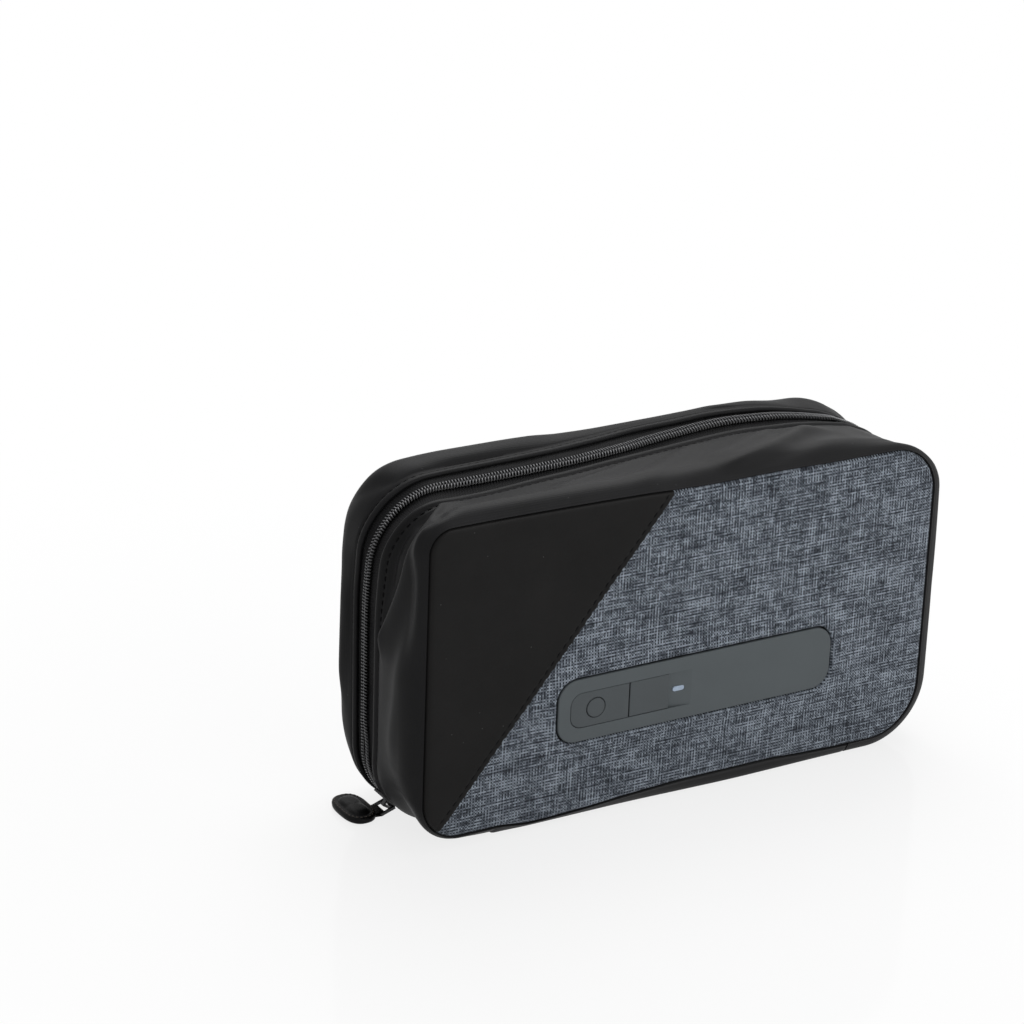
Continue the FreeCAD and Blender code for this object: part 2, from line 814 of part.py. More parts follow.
lens = new_body("indicator_lens")
lens_gap = size("lens_gap")
sketch = new_sketch(lens)
draw_rounded(
    sketch,
    lens_gap - half_indicator,
    half_indicator - lens_gap,
    lens_gap - half_indicator_height,
    half_indicator_height - lens_gap,
    size("indicator_radius") - lens_gap,
)
lens_depth = fascia_thickness - size("indicator_sink")
pad(lens, sketch, lens_depth)
sketch = new_sketch(lens, lift=-lens_depth)
draw_box(
    sketch,
    -half_indicator - half_indicator_height,
    half_indicator + half_indicator_height,
    -half_indicator_height * 2,
    half_indicator_height * 2,
)
pad(lens, sketch, size("indicator_flange"))
place(lens, fascia_x + indicator_x, fascia_face + size("indicator_sink"), fascia_z)

port_mouth = fascia_face + insert_depth + size("port_sink")
shell = new_body("port_shell")
sketch = new_sketch(shell)
shell_radius = size("port_radius")
port_wall = size("port_wall")
draw_rounded(sketch, -half_port, half_port, -half_port_height, half_port_height, shell_radius)
draw_rounded(
    sketch,
    port_wall - half_port,
    half_port - port_wall,
    port_wall - half_port_height,
    half_port_height - port_wall,
    shell_radius - port_wall,
)
pad(shell, sketch, board_face - port_mouth)
place(shell, fascia_x + port_x, port_mouth, fascia_z)

half_tongue = size("tongue_width") / 2
tongue_tip = port_mouth + size("tongue_back") + size("plug_depth")
new_block(
    "port_tongue",
    (fascia_x + port_x - half_tongue, tongue_tip, fascia_z - size("tongue_thickness") / 2),
    (half_tongue * 2, board_face - tongue_tip, size("tongue_thickness")),
)

pcb_thickness = size("pcb_thickness")
new_block(
    "main_board",
    (fascia_x - half_main_board, board_face, fascia_z - half_board_height),
    (half_main_board * 2, pcb_thickness, half_board_height * 2),
)

lamp_board_face = housing_inside - pcb_thickness
half_battery_height = half_housing_height - size("battery_play")
battery_right = screw_reach - size("screw_diameter") / 2 - size("battery_gap")
new_block(
    "battery_cell",
    (
        fascia_x + battery_right - size("battery_length"),
        lamp_board_face - size("battery_thickness"),
        fascia_z - half_battery_height,
    ),
    (size("battery_length"), size("battery_thickness"), half_battery_height * 2),
)

screw_bore = size("screw_diameter") + size("screw_gap") * 2
led_places = [led_pitch * (index - (LED_COUNT - 1) / 2) for index in range(LED_COUNT)]

housing = new_body("module_housing")
housing_depth = size("housing_depth")
housing_wall = size("housing_wall")
sketch = new_sketch(housing)
draw_window(sketch, as_size(0), as_size(0), as_size(0))
pad(housing, sketch, housing_depth)
sketch = new_sketch(housing, lift=fascia_back + liner_back - liner_thickness)
draw_window(sketch, as_size(0), as_size(0), size("flange_width"))
pad(housing, sketch, size("flange_thickness"))
sketch = new_sketch(housing)
draw_window(sketch, as_size(0), as_size(0), -housing_wall)
pocket(housing, sketch, housing_depth - size("housing_back"))
sketch = new_sketch(housing)
for across in led_places:
    draw_circle(sketch, across, 0, size("led_bore"))
for sign in (-1, 1):
    draw_circle(sketch, screw_reach * sign, 0, screw_bore)
pocket(housing, sketch)
sketch = new_sketch(housing, lift=size("quartz_thickness") - housing_depth)
for across in led_places:
    draw_circle(sketch, across, 0, size("quartz_diameter"))
pocket(housing, sketch)
place(housing, fascia_x, fascia_back, fascia_z)

lamp_board = new_body("lamp_board")
half_lamp_board = half_housing - size("lamp_board_play")
sketch = new_sketch(lamp_board)
draw_box(sketch, -half_lamp_board, half_lamp_board, -half_board_height, half_board_height)
for sign in (-1, 1):
    draw_circle(sketch, screw_reach * sign, 0, screw_bore)
pad(lamp_board, sketch, pcb_thickness)
place(lamp_board, fascia_x, lamp_board_face, fascia_z)

half_led = size("led_side") / 2
for index, across in enumerate(led_places, start=1):
    new_block(
        f"uvc_led_{index}",
        (fascia_x + across - half_led, housing_inside, fascia_z - half_led),
        (half_led * 2, size("led_height"), half_led * 2),
    )
    window = new_body(f"lamp_window_{index}")
    sketch = new_sketch(window)
    draw_circle(sketch, 0, 0, size("quartz_diameter") - size("quartz_gap") * 2)
    pad(window, sketch, size("quartz_thickness"))
    place(window, fascia_x + across, housing_end - size("quartz_thickness"), fascia_z)

for side, sign in SIDES:
    screw = new_body(f"housing_screw_{side}")
    sketch = new_sketch(screw)
    draw_circle(sketch, 0, 0, size("screw_diameter"))
    pad(screw, sketch, size("screw_length"))
    sketch = new_sketch(screw, lift=-size("screw_length"))
    draw_circle(sketch, 0, 0, size("head_diameter"))
    pad(screw, sketch, size("head_height"))
    place(screw, fascia_x + screw_reach * sign, housing_end - size("screw_length"), fascia_z)

# Zip slider, parked in the lower left corner: its plates are bowed to the corner's own radius.

corner_x = corner_radius - case_width / 2
tape_outside = corner_radius - gusset_wall
slider_gap = size("slider_gap")
slider_plate = size("slider_plate")
upper_inside = tape_outside + size("chain_height") + slider_gap
upper_outside = upper_inside + slider_plate
lower_outside = corner_radius - tape_inset - slider_gap
lower_inside = lower_outside - slider_plate
cheek_inside = half_gap + size("chain_width") + size("cheek_gap")
half_slider = cheek_inside + size("slider_cheek")
half_post = size("post_width") / 2
slider_turn = FreeCAD.Rotation(ALONG_Y, 180 - slider_angle.value)

slider = new_body("slider_body")
sketch = new_sketch(slider, "XY_Plane")
draw_box(sketch, lower_inside, upper_outside, -half_post, half_post)
revolve(slider, sketch, size("post_arc_angle"))
sketch = new_sketch(slider, "XY_Plane")
draw_polygon(
    sketch,
    [
        (upper_outside, -half_slider),
        (upper_outside, half_slider),
        (tape_outside + slider_gap, half_slider),
        (tape_outside + slider_gap, cheek_inside),
        (upper_inside, cheek_inside),
        (upper_inside, -cheek_inside),
        (tape_outside + slider_gap, -cheek_inside),
        (tape_outside + slider_gap, -half_slider),
    ],
)
revolve(slider, sketch, size("slider_arc_angle"))
sketch = new_sketch(slider, "XY_Plane")
draw_box(sketch, lower_inside, lower_outside, -half_slider, half_slider)
revolve(slider, sketch, size("slider_arc_angle"))
sketch = new_sketch(slider, "XZ_Plane")
bridge_half = size("bridge_length") / 2
bridge_bar = size("bridge_bar")
bridge_top = upper_outside + size("bridge_hole")
draw_polygon(
    sketch,
    [
        (upper_inside, -bridge_half - bridge_bar),
        (bridge_top + bridge_bar, -bridge_half - bridge_bar),
        (bridge_top + bridge_bar, bridge_half + bridge_bar),
        (upper_inside, bridge_half + bridge_bar),
        (upper_inside, bridge_half),
        (bridge_top, bridge_half),
        (bridge_top, -bridge_half),
        (upper_inside, -bridge_half),
    ],
)
pad(slider, sketch, size("bridge_width"), symmetric=True)
place(slider, corner_x, zip_plane, corner_radius, rotation=slider_turn)

# Zip pull: a link through the slider's bridge and a padded tab that lies on the ground.

pull_axis = upper_outside + size("bridge_hole") / 2
pull_x = corner_x - pull_axis * cosine(slider_angle)
pull_z = corner_radius - pull_axis * sine(slider_angle)
half_bar = size("link_bar") / 2
link_reach = size("link_reach")
link_slope = size("link_slope_angle")
half_opening = size("link_opening") / 2

link = new_body("pull_link")
sketch = new_sketch(link, "XY_Plane", lift=-half_bar)
draw_box(
    sketch,
    -link_reach - half_bar,
    half_bar,
    -half_opening - half_bar * 2,
    half_opening + half_bar * 2,
)
draw_box(sketch, half_bar - link_reach, -half_bar, -half_opening, half_opening)
pad(link, sketch, half_bar * 2, backwards=False)
place(link, pull_x, zip_plane, pull_z, rotation=FreeCAD.Rotation(ALONG_Y, -link_slope.value))

neck_x = pull_x - link_reach * cosine(link_slope)
neck_z = pull_z - link_reach * sine(link_slope)
half_pull = size("pull_thickness") / 2
half_neck = half_opening - size("neck_gap")
half_width = size("pull_width") / 2
half_length = size("pull_length") / 2
pull_radius = size("pull_radius")
pull_reach = size("pull_reach")
pull_shift = size("pull_shift")
bar_bore = half_bar * 2 * math.sqrt(2) + size("neck_gap")


def draw_oval(sketch, inset):
    """Draw the oval of the pull tab, moved inwards."""
    draw_rounded(
        sketch,
        inset - pull_reach - half_length,
        half_length - pull_reach - inset,
        pull_shift - half_width + inset,
        pull_shift + half_width - inset,
        pull_radius - inset,
    )


tab = new_body("pull_tab")
sketch = new_sketch(tab, "XY_Plane", lift=-half_pull)
draw_oval(sketch, as_size(0))
pad(tab, sketch, half_pull * 2, backwards=False)
sketch = new_sketch(tab, "XY_Plane", lift=-half_pull)
draw_box(sketch, -pull_reach, bar_bore / 2 + size("neck_lip"), -half_neck, half_neck)
pad(tab, sketch, half_pull * 2, backwards=False)
sketch = new_sketch(tab, lift=half_neck)
draw_circle(sketch, 0, 0, bar_bore)
pocket(tab, sketch)
place(tab, neck_x, zip_plane, neck_z)

raised = new_body("pull_padding")
sketch = new_sketch(raised, "XY_Plane", lift=half_pull)
draw_oval(sketch, size("pull_rim"))
pad(raised, sketch, size("pull_raise"), backwards=False)
place(raised, neck_x, zip_plane, neck_z)

doc.recompute()
for item in doc.Objects:
    if {"Invalid", "Error"} & set(item.State):
        raise RuntimeError(f"{item.Label} did not recompute: {item.State}")
for item in subparts:
    if item.Shape.isNull() or not item.Shape.isValid():
        raise RuntimeError(f"{item.Label} has no valid shape")

os.makedirs("parts", exist_ok=True)
for item in subparts:
    item.Shape.exportStep(f"parts/{item.Label}.step")
    print(f"{item.Label}: {len(item.Shape.Solids)} solid, {item.Shape.Volume:.1f} mm3")
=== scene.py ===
import logging
import math
from collections.abc import Callable
from dataclasses import dataclass
from enum import Enum
from functools import partial

import bmesh
import bpy
import numpy as np
from mathutils import Matrix, Vector


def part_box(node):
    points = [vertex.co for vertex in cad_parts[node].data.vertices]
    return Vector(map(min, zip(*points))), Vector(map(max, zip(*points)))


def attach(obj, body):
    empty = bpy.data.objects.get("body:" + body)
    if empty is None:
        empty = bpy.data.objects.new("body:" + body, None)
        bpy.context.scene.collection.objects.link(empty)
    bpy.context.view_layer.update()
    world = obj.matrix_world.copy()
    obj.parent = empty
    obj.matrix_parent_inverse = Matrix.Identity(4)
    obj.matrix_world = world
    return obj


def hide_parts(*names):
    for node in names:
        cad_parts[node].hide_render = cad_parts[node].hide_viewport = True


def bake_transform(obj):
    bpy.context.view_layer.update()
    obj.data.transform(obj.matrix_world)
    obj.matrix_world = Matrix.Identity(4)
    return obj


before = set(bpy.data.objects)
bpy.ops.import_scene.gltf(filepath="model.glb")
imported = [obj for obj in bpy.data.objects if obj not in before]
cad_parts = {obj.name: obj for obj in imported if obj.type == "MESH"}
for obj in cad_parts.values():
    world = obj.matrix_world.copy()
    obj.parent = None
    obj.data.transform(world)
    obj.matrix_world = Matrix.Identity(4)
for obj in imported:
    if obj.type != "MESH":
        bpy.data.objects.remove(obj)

MM = 0.001
TURN = 2 * math.pi
WHITE = (1.0, 1.0, 1.0)

WALL = 1.55
CROWN = 4.4
BEAD = (5.35, 5.3, 5.15, 4.9, 4.62)
FLOOR_GAP = 0.04

Array = np.ndarray
Object = bpy.types.Object
Material = bpy.types.Material
Socket = bpy.types.NodeSocket
Colour = tuple[float, float, float]
Distance = Callable[[Array, Array], Array]

log = logging.getLogger("case")


class Side(Enum):
    """The two halves of the case; the value is the sign of depth at the panel."""

    FRONT = -1
    REAR = 1

    @property
    def body(self) -> str:
        """Name of the body that this half rides on."""
        return f"{self.word}_half"

    @property
    def word(self) -> str:
        """The word for this half in piece names."""
        return self.name.lower()


def box_mm(node: str) -> tuple[Array, Array]:
    """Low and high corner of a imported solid, in millimetres."""
    low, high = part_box(node)
    return np.array(low) / MM, np.array(high) / MM


def middle_half(node: str) -> tuple[Array, Array]:
    """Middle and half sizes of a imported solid, in millimetres."""
    low, high = box_mm(node)
    return (low + high) / 2, (high - low) / 2


def together(*parts: Array | float) -> Array:
    """Points from their parts, spread over one common grid."""
    return np.stack(np.broadcast_arrays(*parts), -1)


def unit(vectors: Array) -> Array:
    """Scale vectors along the last axis to length one."""
    return vectors / np.maximum(np.linalg.norm(vectors, axis=-1, keepdims=True), 1e-9)


def roll(left: Array) -> Array:
    """Inset of a skin that rolls out from its seam, from the share of the roll that is left."""
    return CROWN * np.clip(left, 0, 1) ** 2.2


def polar(centre: tuple[float, float], lengths: Array, angles: Array) -> tuple[Array, Array]:
    """Across and up of places at some lengths along rays from a centre."""
    return centre[0] + lengths * np.cos(angles), centre[1] + lengths * np.sin(angles)


def ray_angles(count: int) -> Array:
    """Even directions all round."""
    return np.linspace(0, TURN, count, endpoint=False)


def ease(at: Array, stops: tuple[float, ...], values: tuple[float, ...]) -> Array:
    """Read a smooth curve through stops: cubic pieces whose slopes at the stops never overshoot.

    The slope at a stop is the harmonic mean of its two neighbours' slopes, or zero where they differ in sign.

    Args:
        at: places to read.
        stops: rising places of the control values.
        values: control values.

    Returns:
        The curve at each place, constant past both ends.
    """
    places = np.asarray(stops, float)
    heights = np.asarray(values, float)
    gaps = np.diff(places)
    slopes = np.diff(heights) / gaps
    both = slopes[:-1] * slopes[1:]
    total = slopes[:-1] + slopes[1:]
    inner = np.where(both > 0, 2 * both / np.where(both > 0, total, 1.0), 0.0)
    tangents = np.concatenate([[0.0], inner, [0.0]])
    at = np.clip(np.asarray(at, float), places[0], places[-1])
    span = np.clip(np.searchsorted(places, at, side="right") - 1, 0, len(places) - 2)
    part = (at - places[span]) / gaps[span]
    rest = 1 - part
    ends = heights[span] * (1 + 2 * part) * rest**2 + heights[span + 1] * part**2 * (3 - 2 * part)
    bends = tangents[span] * part * rest**2 - tangents[span + 1] * part**2 * rest
    return ends + bends * gaps[span]


def rounded_distance(x: Array, z: Array, half: tuple[float, float], radius: float | Array) -> Array:
    """Signed distance to a rounded rectangle about the origin, below zero inside.

    The point is folded into one quarter, the corner's circle centre is taken away, and what is left
    is the length of the positive part less the radius.

    Args:
        x: distance across.
        z: distance up.
        half: half width and half height.
        radius: corner radius.

    Returns:
        The distance at each point.
    """
    over_x = np.abs(x) - half[0] + radius
    over_z = np.abs(z) - half[1] + radius
    outside = np.hypot(np.maximum(over_x, 0), np.maximum(over_z, 0))
    return outside + np.minimum(np.maximum(over_x, over_z), 0) - radius


def reach(angles: Array, centre: tuple[float, float], outside: Distance) -> Array:
    """Length of each ray from a centre to the edge of an outline, by halving the interval.

    Args:
        angles: directions of the rays.
        centre: where they start.
        outside: signed distance of a place, below zero inside.

    Returns:
        The lengths.
    """
    near = np.zeros_like(angles)
    far = np.full_like(angles, 300.0)
    for _ in range(40):
        middle = (near + far) / 2
        beyond = outside(*polar(centre, middle, angles)) > 0
        far = np.where(beyond, middle, far)
        near = np.where(beyond, near, middle)
    return (near + far) / 2


def quads(rows: int, columns: int, round_rows: bool = False, round_columns: bool = False) -> Array:
    """Corner numbers of the quads of a grid of points.

    Args:
        rows: rows of the grid.
        columns: columns of the grid.
        round_rows: join the last row to the first.
        round_columns: join the last column to the first.

    Returns:
        Four corner numbers for each quad.
    """
    across = np.arange(columns if round_columns else columns - 1)
    i, j = np.meshgrid(np.arange(rows if round_rows else rows - 1), across, indexing="ij")
    here = i * columns
    below = (i + 1) % rows * columns
    beside = (j + 1) % columns
    return np.stack([here + j, below + j, below + beside, here + beside], -1).reshape(-1, 4)


class Shell:
    """Points and faces of one piece, gathered from grids in millimetres."""

    def __init__(self) -> None:
        """Start with nothing."""
        self.points: list[Array] = []
        self.maps: list[Array] = []
        self.faces: list[list[int]] = []
        self.count = 0

    def add(self, points: Array, flat: Array | None = None) -> int:
        """Add loose points.

        Args:
            points: any grid of points.
            flat: their flat coordinates; across and up if there are none.

        Returns:
            Index of the first point.
        """
        first = self.count
        flat = points[..., (0, 2)] if flat is None else flat
        self.points.append(points.reshape(-1, 3))
        self.maps.append(flat.reshape(-1, 2))
        self.count += len(self.points[-1])
        return first

    def grid(self, points: Array, flat: Array | None = None, round_rows: bool = False,
             round_columns: bool = False) -> int:
        """Add a grid of points joined by quads.

        Args:
            points: rows by columns by three.
            flat: the grid's flat coordinates, rows by columns by two.
            round_rows: join the last row to the first.
            round_columns: join the last column to the first.

        Returns:
            Index of the grid's first point.
        """
        first = self.add(points, flat)
        self.faces += (quads(*points.shape[:2], round_rows, round_columns) + first).tolist()
        return first

    def tube(self, points: Array, flat: Array | None = None) -> None:
        """Add a run of closed rings and close both ends.

        Args:
            points: rings by points of a ring by three.
            flat: flat coordinates of the same points.
        """
        rows, columns = points.shape[:2]
        ring = self.grid(points, flat, round_columns=True) + np.arange(columns)
        self.faces += [ring.tolist(), (ring + (rows - 1) * columns).tolist()]

    def ball(self, points: Array, flat: Array | None = None) -> None:
        """Add rings between two poles: the first and last ring close to a point each.

        Args:
            points: rings by points of a ring by three, poles left out.
            flat: flat coordinates of the same points.
        """
        rows, columns = points.shape[:2]
        flat = points[..., (0, 2)] if flat is None else flat
        ring = self.grid(points, flat, round_columns=True) + np.arange(columns)
        after = np.roll(ring, -1)
        poles = self.add(points[[0, -1]].mean(axis=1), flat[[0, -1]].mean(axis=1))
        last = (rows - 1) * columns
        self.faces += together(poles, ring, after).tolist()
        self.faces += together(poles + 1, after + last, ring + last).tolist()

    def copies(self, points: Array) -> None:
        """Add many small tubes at once, each closed at both ends.

        Args:
            points: copies by rings by points of a ring by three.
        """
        many, rows, columns = points.shape[:3]
        starts = self.add(points) + rows * columns * np.arange(many)[:, None, None]
        ring = np.arange(columns)
        ends = np.stack([ring, ring + (rows - 1) * columns])
        for corners in (quads(rows, columns, round_columns=True), ends):
            self.faces += (corners + starts).reshape(-1, corners.shape[1]).tolist()

    def make(self, name: str, sharp: float = 40.0) -> Object:
        """Make the mesh object, faces outwards, in metres.

        Args:
            name: name of the piece.
            sharp: edges that turn by more than these degrees stay sharp.

        Returns:
            The new object, linked to the scene.
        """
        points = np.concatenate(self.points) * MM
        flat = np.concatenate(self.maps)
        mesh = bpy.data.meshes.new(name)
        mesh.from_pydata(points.tolist(), [], self.faces)
        work = bmesh.new()
        work.from_mesh(mesh)
        bmesh.ops.recalc_face_normals(work, faces=work.faces)
        work.to_mesh(mesh)
        work.free()
        corners = np.empty(len(mesh.loops), np.int32)
        mesh.loops.foreach_get("vertex_index", corners)
        layer = mesh.uv_layers.new(name="cloth")
        layer.data.foreach_set("uv", (flat[corners] * MM).astype(np.float32).ravel())
        mesh.polygons.foreach_set("use_smooth", np.ones(len(mesh.polygons), bool))
        mesh.set_sharp_from_angle(angle=math.radians(sharp))
        mesh.update()
        piece = bpy.data.objects.new(name, mesh)
        bpy.context.scene.collection.objects.link(piece)
        return piece


class Tree:
    """Adds nodes to a shader tree and links them."""

    def __init__(self, tree: bpy.types.NodeTree) -> None:
        """Take over a tree.

        Args:
            tree: the tree of a material or a world.
        """
        self.nodes = tree.nodes
        self.links = tree.links

    def link(self, value: object, socket: Socket) -> None:
        """Link an output to a socket, or set a plain value on it; a colour of three parts becomes opaque."""
        if isinstance(value, Socket):
            self.links.new(value, socket)
        else:
            opaque = socket.type == "RGBA" and len(value) == 3
            socket.default_value = (*value, 1.0) if opaque else value

    def add(self, kind: str, output: str | int, inputs: dict[str | int, object],
            **settings: object) -> Socket:
        """Add one node.

        Args:
            kind: the node's type, without its prefix.
            output: which of its outputs to hand back.
            inputs: sockets to link or values to set, by input.
            settings: the node's own properties.

        Returns:
            The output.
        """
        node = self.nodes.new(f"ShaderNode{kind}")
        for name, value in settings.items():
            setattr(node, name, value)
        for name, value in inputs.items():
            self.link(value, node.inputs[name])
        return node.outputs[output]

    def math(self, kind: str, first: object, second: object = 0.0, third: object = 0.0) -> Socket:
        """One arithmetic step on values or sockets."""
        return self.add("Math", 0, {0: first, 1: second, 2: third}, operation=kind)

    def seen(self) -> Socket:
        """One where the ray comes from the camera, a mirror or glass."""
        path = self.nodes.new("ShaderNodeLightPath").outputs
        direct = self.math("MAXIMUM", path["Is Camera Ray"], path["Is Glossy Ray"])
        return self.math("MAXIMUM", direct, path["Is Transmission Ray"])

    def show(self, share: Socket, shader: Socket, seen: Socket, end: str) -> None:
        """Show a shader, and another one for a share of the rays."""
        mixed = self.add("MixShader", 0, {"Fac": share, 1: shader, 2: seen})
        self.link(mixed, self.nodes[end].inputs["Surface"])


class Recipe(Tree):
    """The nodes of one new material with a principled shader."""

    def __init__(self, name: str) -> None:
        """Start a material.

        Args:
            name: name of the material.
        """
        self.material = bpy.data.materials.new(name)
        self.material.use_nodes = True
        super().__init__(self.material.node_tree)
        self.shader = self.nodes["Principled BSDF"]
        self.place = self.nodes.new("ShaderNodeTexCoord").outputs

    def set(self, **values: object) -> None:
        """Set the shader's sockets; underscores stand for spaces in their names."""
        for name, value in values.items():
            self.link(value, self.shader.inputs[name.replace("_", " ")])

    def coordinates(self, scale: float | tuple[float, float, float], cloth: bool = False) -> Socket:
        """Place in the object or on the cloth, in metres, times a scale.

        Args:
            scale: factor along each axis, or one for all.
            cloth: read the piece's own flat map instead of the object's frame.

        Returns:
            The scaled coordinates.
        """
        scale = scale if isinstance(scale, tuple) else (scale,) * 3
        place = self.place["UV" if cloth else "Object"]
        return self.add("Mapping", "Vector", {"Vector": place, "Scale": scale})

    def noise(self, vector: Socket, detail: float = 2.0, rough: float = 0.5) -> Socket:
        """Fractal noise from 0 to 1 at a place."""
        inputs = {"Vector": vector, "Scale": 1.0, "Detail": detail, "Roughness": rough}
        return self.add("TexNoise", "Fac", inputs)

    def grain(self, scale: float, detail: float = 2.0, rough: float = 0.5) -> Socket:
        """Fractal noise at so many grains to the metre."""
        return self.noise(self.coordinates(scale), detail, rough)

    def cells(self, scale: float) -> Socket:
        """Distance to the nearest of scattered points, so many to the metre."""
        return self.add("TexVoronoi", "Distance", {"Vector": self.coordinates(scale), "Scale": 1.0})

    def about(self, value: Socket, weight: float, base: object) -> Socket:
        """A base and, by weight, how far a value from 0 to 1 lies from its middle."""
        return self.math("MULTIPLY_ADD", self.math("SUBTRACT", value, 0.5), weight, base)

    def ramp(self, value: Socket, *stops: tuple[float, Colour]) -> Socket:
        """Colours along a value.

        Args:
            value: what is looked up.
            stops: place and colour of each stop.

        Returns:
            The colour.
        """
        colour = self.add("ValToRGB", "Color", {"Fac": value})
        elements = colour.node.color_ramp.elements
        for _ in stops[2:]:
            elements.new(0.5)
        for element, (spot, tone) in zip(elements, stops):
            element.position = spot
            element.color = (*tone, 1.0)
        return colour

    def shades(self, value: Socket, colour: Colour, *stops: tuple[float, float]) -> Socket:
        """One colour along a value, made darker or lighter at each stop."""
        return self.ramp(value, *((spot, scaled(colour, factor)) for spot, factor in stops))

    def spread(self, value: Socket, low: float, high: float) -> Socket:
        """Bring a value from 0 to 1 into a new range."""
        return self.add("MapRange", "Result", {"Value": value, "To Min": low, "To Max": high})

    def split(self, vector: Socket) -> tuple[Socket, Socket, Socket]:
        """The three parts of a vector."""
        parts = self.add("SeparateXYZ", "X", {"Vector": vector}).node.outputs
        return parts["X"], parts["Y"], parts["Z"]

    def join(self, x: object, y: object, z: object) -> Socket:
        """A vector from three values or sockets."""
        return self.add("CombineXYZ", "Vector", {"X": x, "Y": y, "Z": z})

    def bump(self, height: Socket, depth: float, strength: float, under: Socket | None = None) -> None:
        """Give the shader a relief, on top of another one.

        Args:
            height: the relief from 0 to 1.
            depth: its depth in metres.
            strength: how much of it shows.
            under: relief under it.
        """
        inputs = {"Strength": strength, "Distance": depth, "Height": height}
        if under is not None:
            inputs["Normal"] = under
        self.set(Normal=self.add("Bump", "Normal", inputs))


def scaled(colour: Colour, factor: float) -> Colour:
    """A colour made lighter or darker by a factor."""
    return (colour[0] * factor, colour[1] * factor, colour[2] * factor)


class Finish:
    """What all finishes share: a name, and a recipe that they fill in."""

    name: str

    def fill(self, recipe: Recipe) -> None:
        """Fill in the recipe."""
        raise NotImplementedError

    def make(self) -> Material:
        """Build the material."""
        recipe = Recipe(self.name)
        self.fill(recipe)
        return recipe.material


@dataclass(frozen=True)
class HeatherCloth(Finish):
    """Melange plain weave: at each crossing the warp or the weft yarn shows, and each yarn's tone wanders."""

    name: str = "heather_cloth"
    dark: Colour = (0.018, 0.021, 0.026)
    middle: Colour = (0.098, 0.112, 0.135)
    light: Colour = (0.300, 0.340, 0.390)
    yarn: float = 0.00062
    dashes: tuple[float, float] = (0.0060, 0.76)
    slubs: tuple[float, float] = (0.022, 0.52)
    base: float = 0.35
    warp_lift: float = 0.22
    speckle: float = 0.20
    cloud: float = 0.30
    painted_yarn_shade: float = 0.11
    depth: float = 0.00014

    def strand(self, recipe: Recipe, number: Socket, along: Socket, upright: bool) -> Socket:
        """Tone of one yarn along its length: short dashes on a slow drift, unlike from yarn to yarn.

        Args:
            recipe: the material's nodes.
            number: which yarn.
            along: place along it, in yarn widths.
            upright: whether it is a warp yarn.

        Returns:
            The tone about zero.
        """
        apart = recipe.math("MULTIPLY", number, 17.3)
        total: Socket | float = 0.0
        for length, weight in (self.dashes, self.slubs):
            place = recipe.math("MULTIPLY", along, self.yarn / length)
            spot = recipe.join(apart, length, place) if upright else recipe.join(place, 41.0 + length, apart)
            total = recipe.about(recipe.noise(spot, 1.0, 0.6), weight, total)
        return total

    def fill(self, recipe: Recipe) -> None:
        """Add the yarn on top at each crossing, its specks, slow clouds and the rounding of the yarns, which
        goes into the relief and, as painted shade, into the colour.
        """
        x, _, z = recipe.split(recipe.coordinates((1 / self.yarn, 1.0, 1 / self.yarn)))
        warp_no = recipe.math("FLOOR", x)
        weft_no = recipe.math("FLOOR", z)
        over = recipe.math("FLOORED_MODULO", recipe.math("ADD", warp_no, weft_no), 2.0)
        hidden = recipe.math("SUBTRACT", 1.0, over)
        warp = self.strand(recipe, warp_no, z, True)
        weft = self.strand(recipe, weft_no, x, False)
        tone: Socket | float = self.base
        for strand, shown in ((warp, hidden), (weft, over)):
            tone = recipe.math("MULTIPLY_ADD", strand, recipe.math("MULTIPLY_ADD", shown, 0.6, 0.4), tone)
        tone = recipe.math("MULTIPLY_ADD", over, self.warp_lift, tone)
        spot = recipe.add("TexWhiteNoise", "Value", {"Vector": recipe.join(warp_no, 0.0, weft_no)})
        tone = recipe.about(spot, self.speckle, tone)
        tone = recipe.about(recipe.noise(recipe.coordinates((70.0, 1.0, 110.0))), self.cloud, tone)
        # painted shade: a sine across and one up lighten and darken the yarns in turn, standing for light on
        # their rounding; the same sines also shape the relief
        turn = math.pi / self.yarn
        round_x, _, round_z = recipe.split(recipe.coordinates((turn, 1.0, turn)))
        rows = recipe.math("SINE", round_z)
        columns = recipe.math("SINE", round_x)
        tone = recipe.math("MULTIPLY_ADD", recipe.math("ADD", rows, columns), self.painted_yarn_shade, tone)
        colour = recipe.ramp(tone, (0.28, self.dark), (0.50, self.middle), (0.74, self.light))
        recipe.set(Base_Color=colour, Roughness=0.9, Specular_IOR_Level=0.12)
        recipe.set(Sheen_Weight=0.04, Sheen_Roughness=0.5)
        crossings = recipe.math("MULTIPLY", columns, rows)
        recipe.bump(recipe.math("MULTIPLY_ADD", crossings, 0.5, tone), self.depth, 0.6)


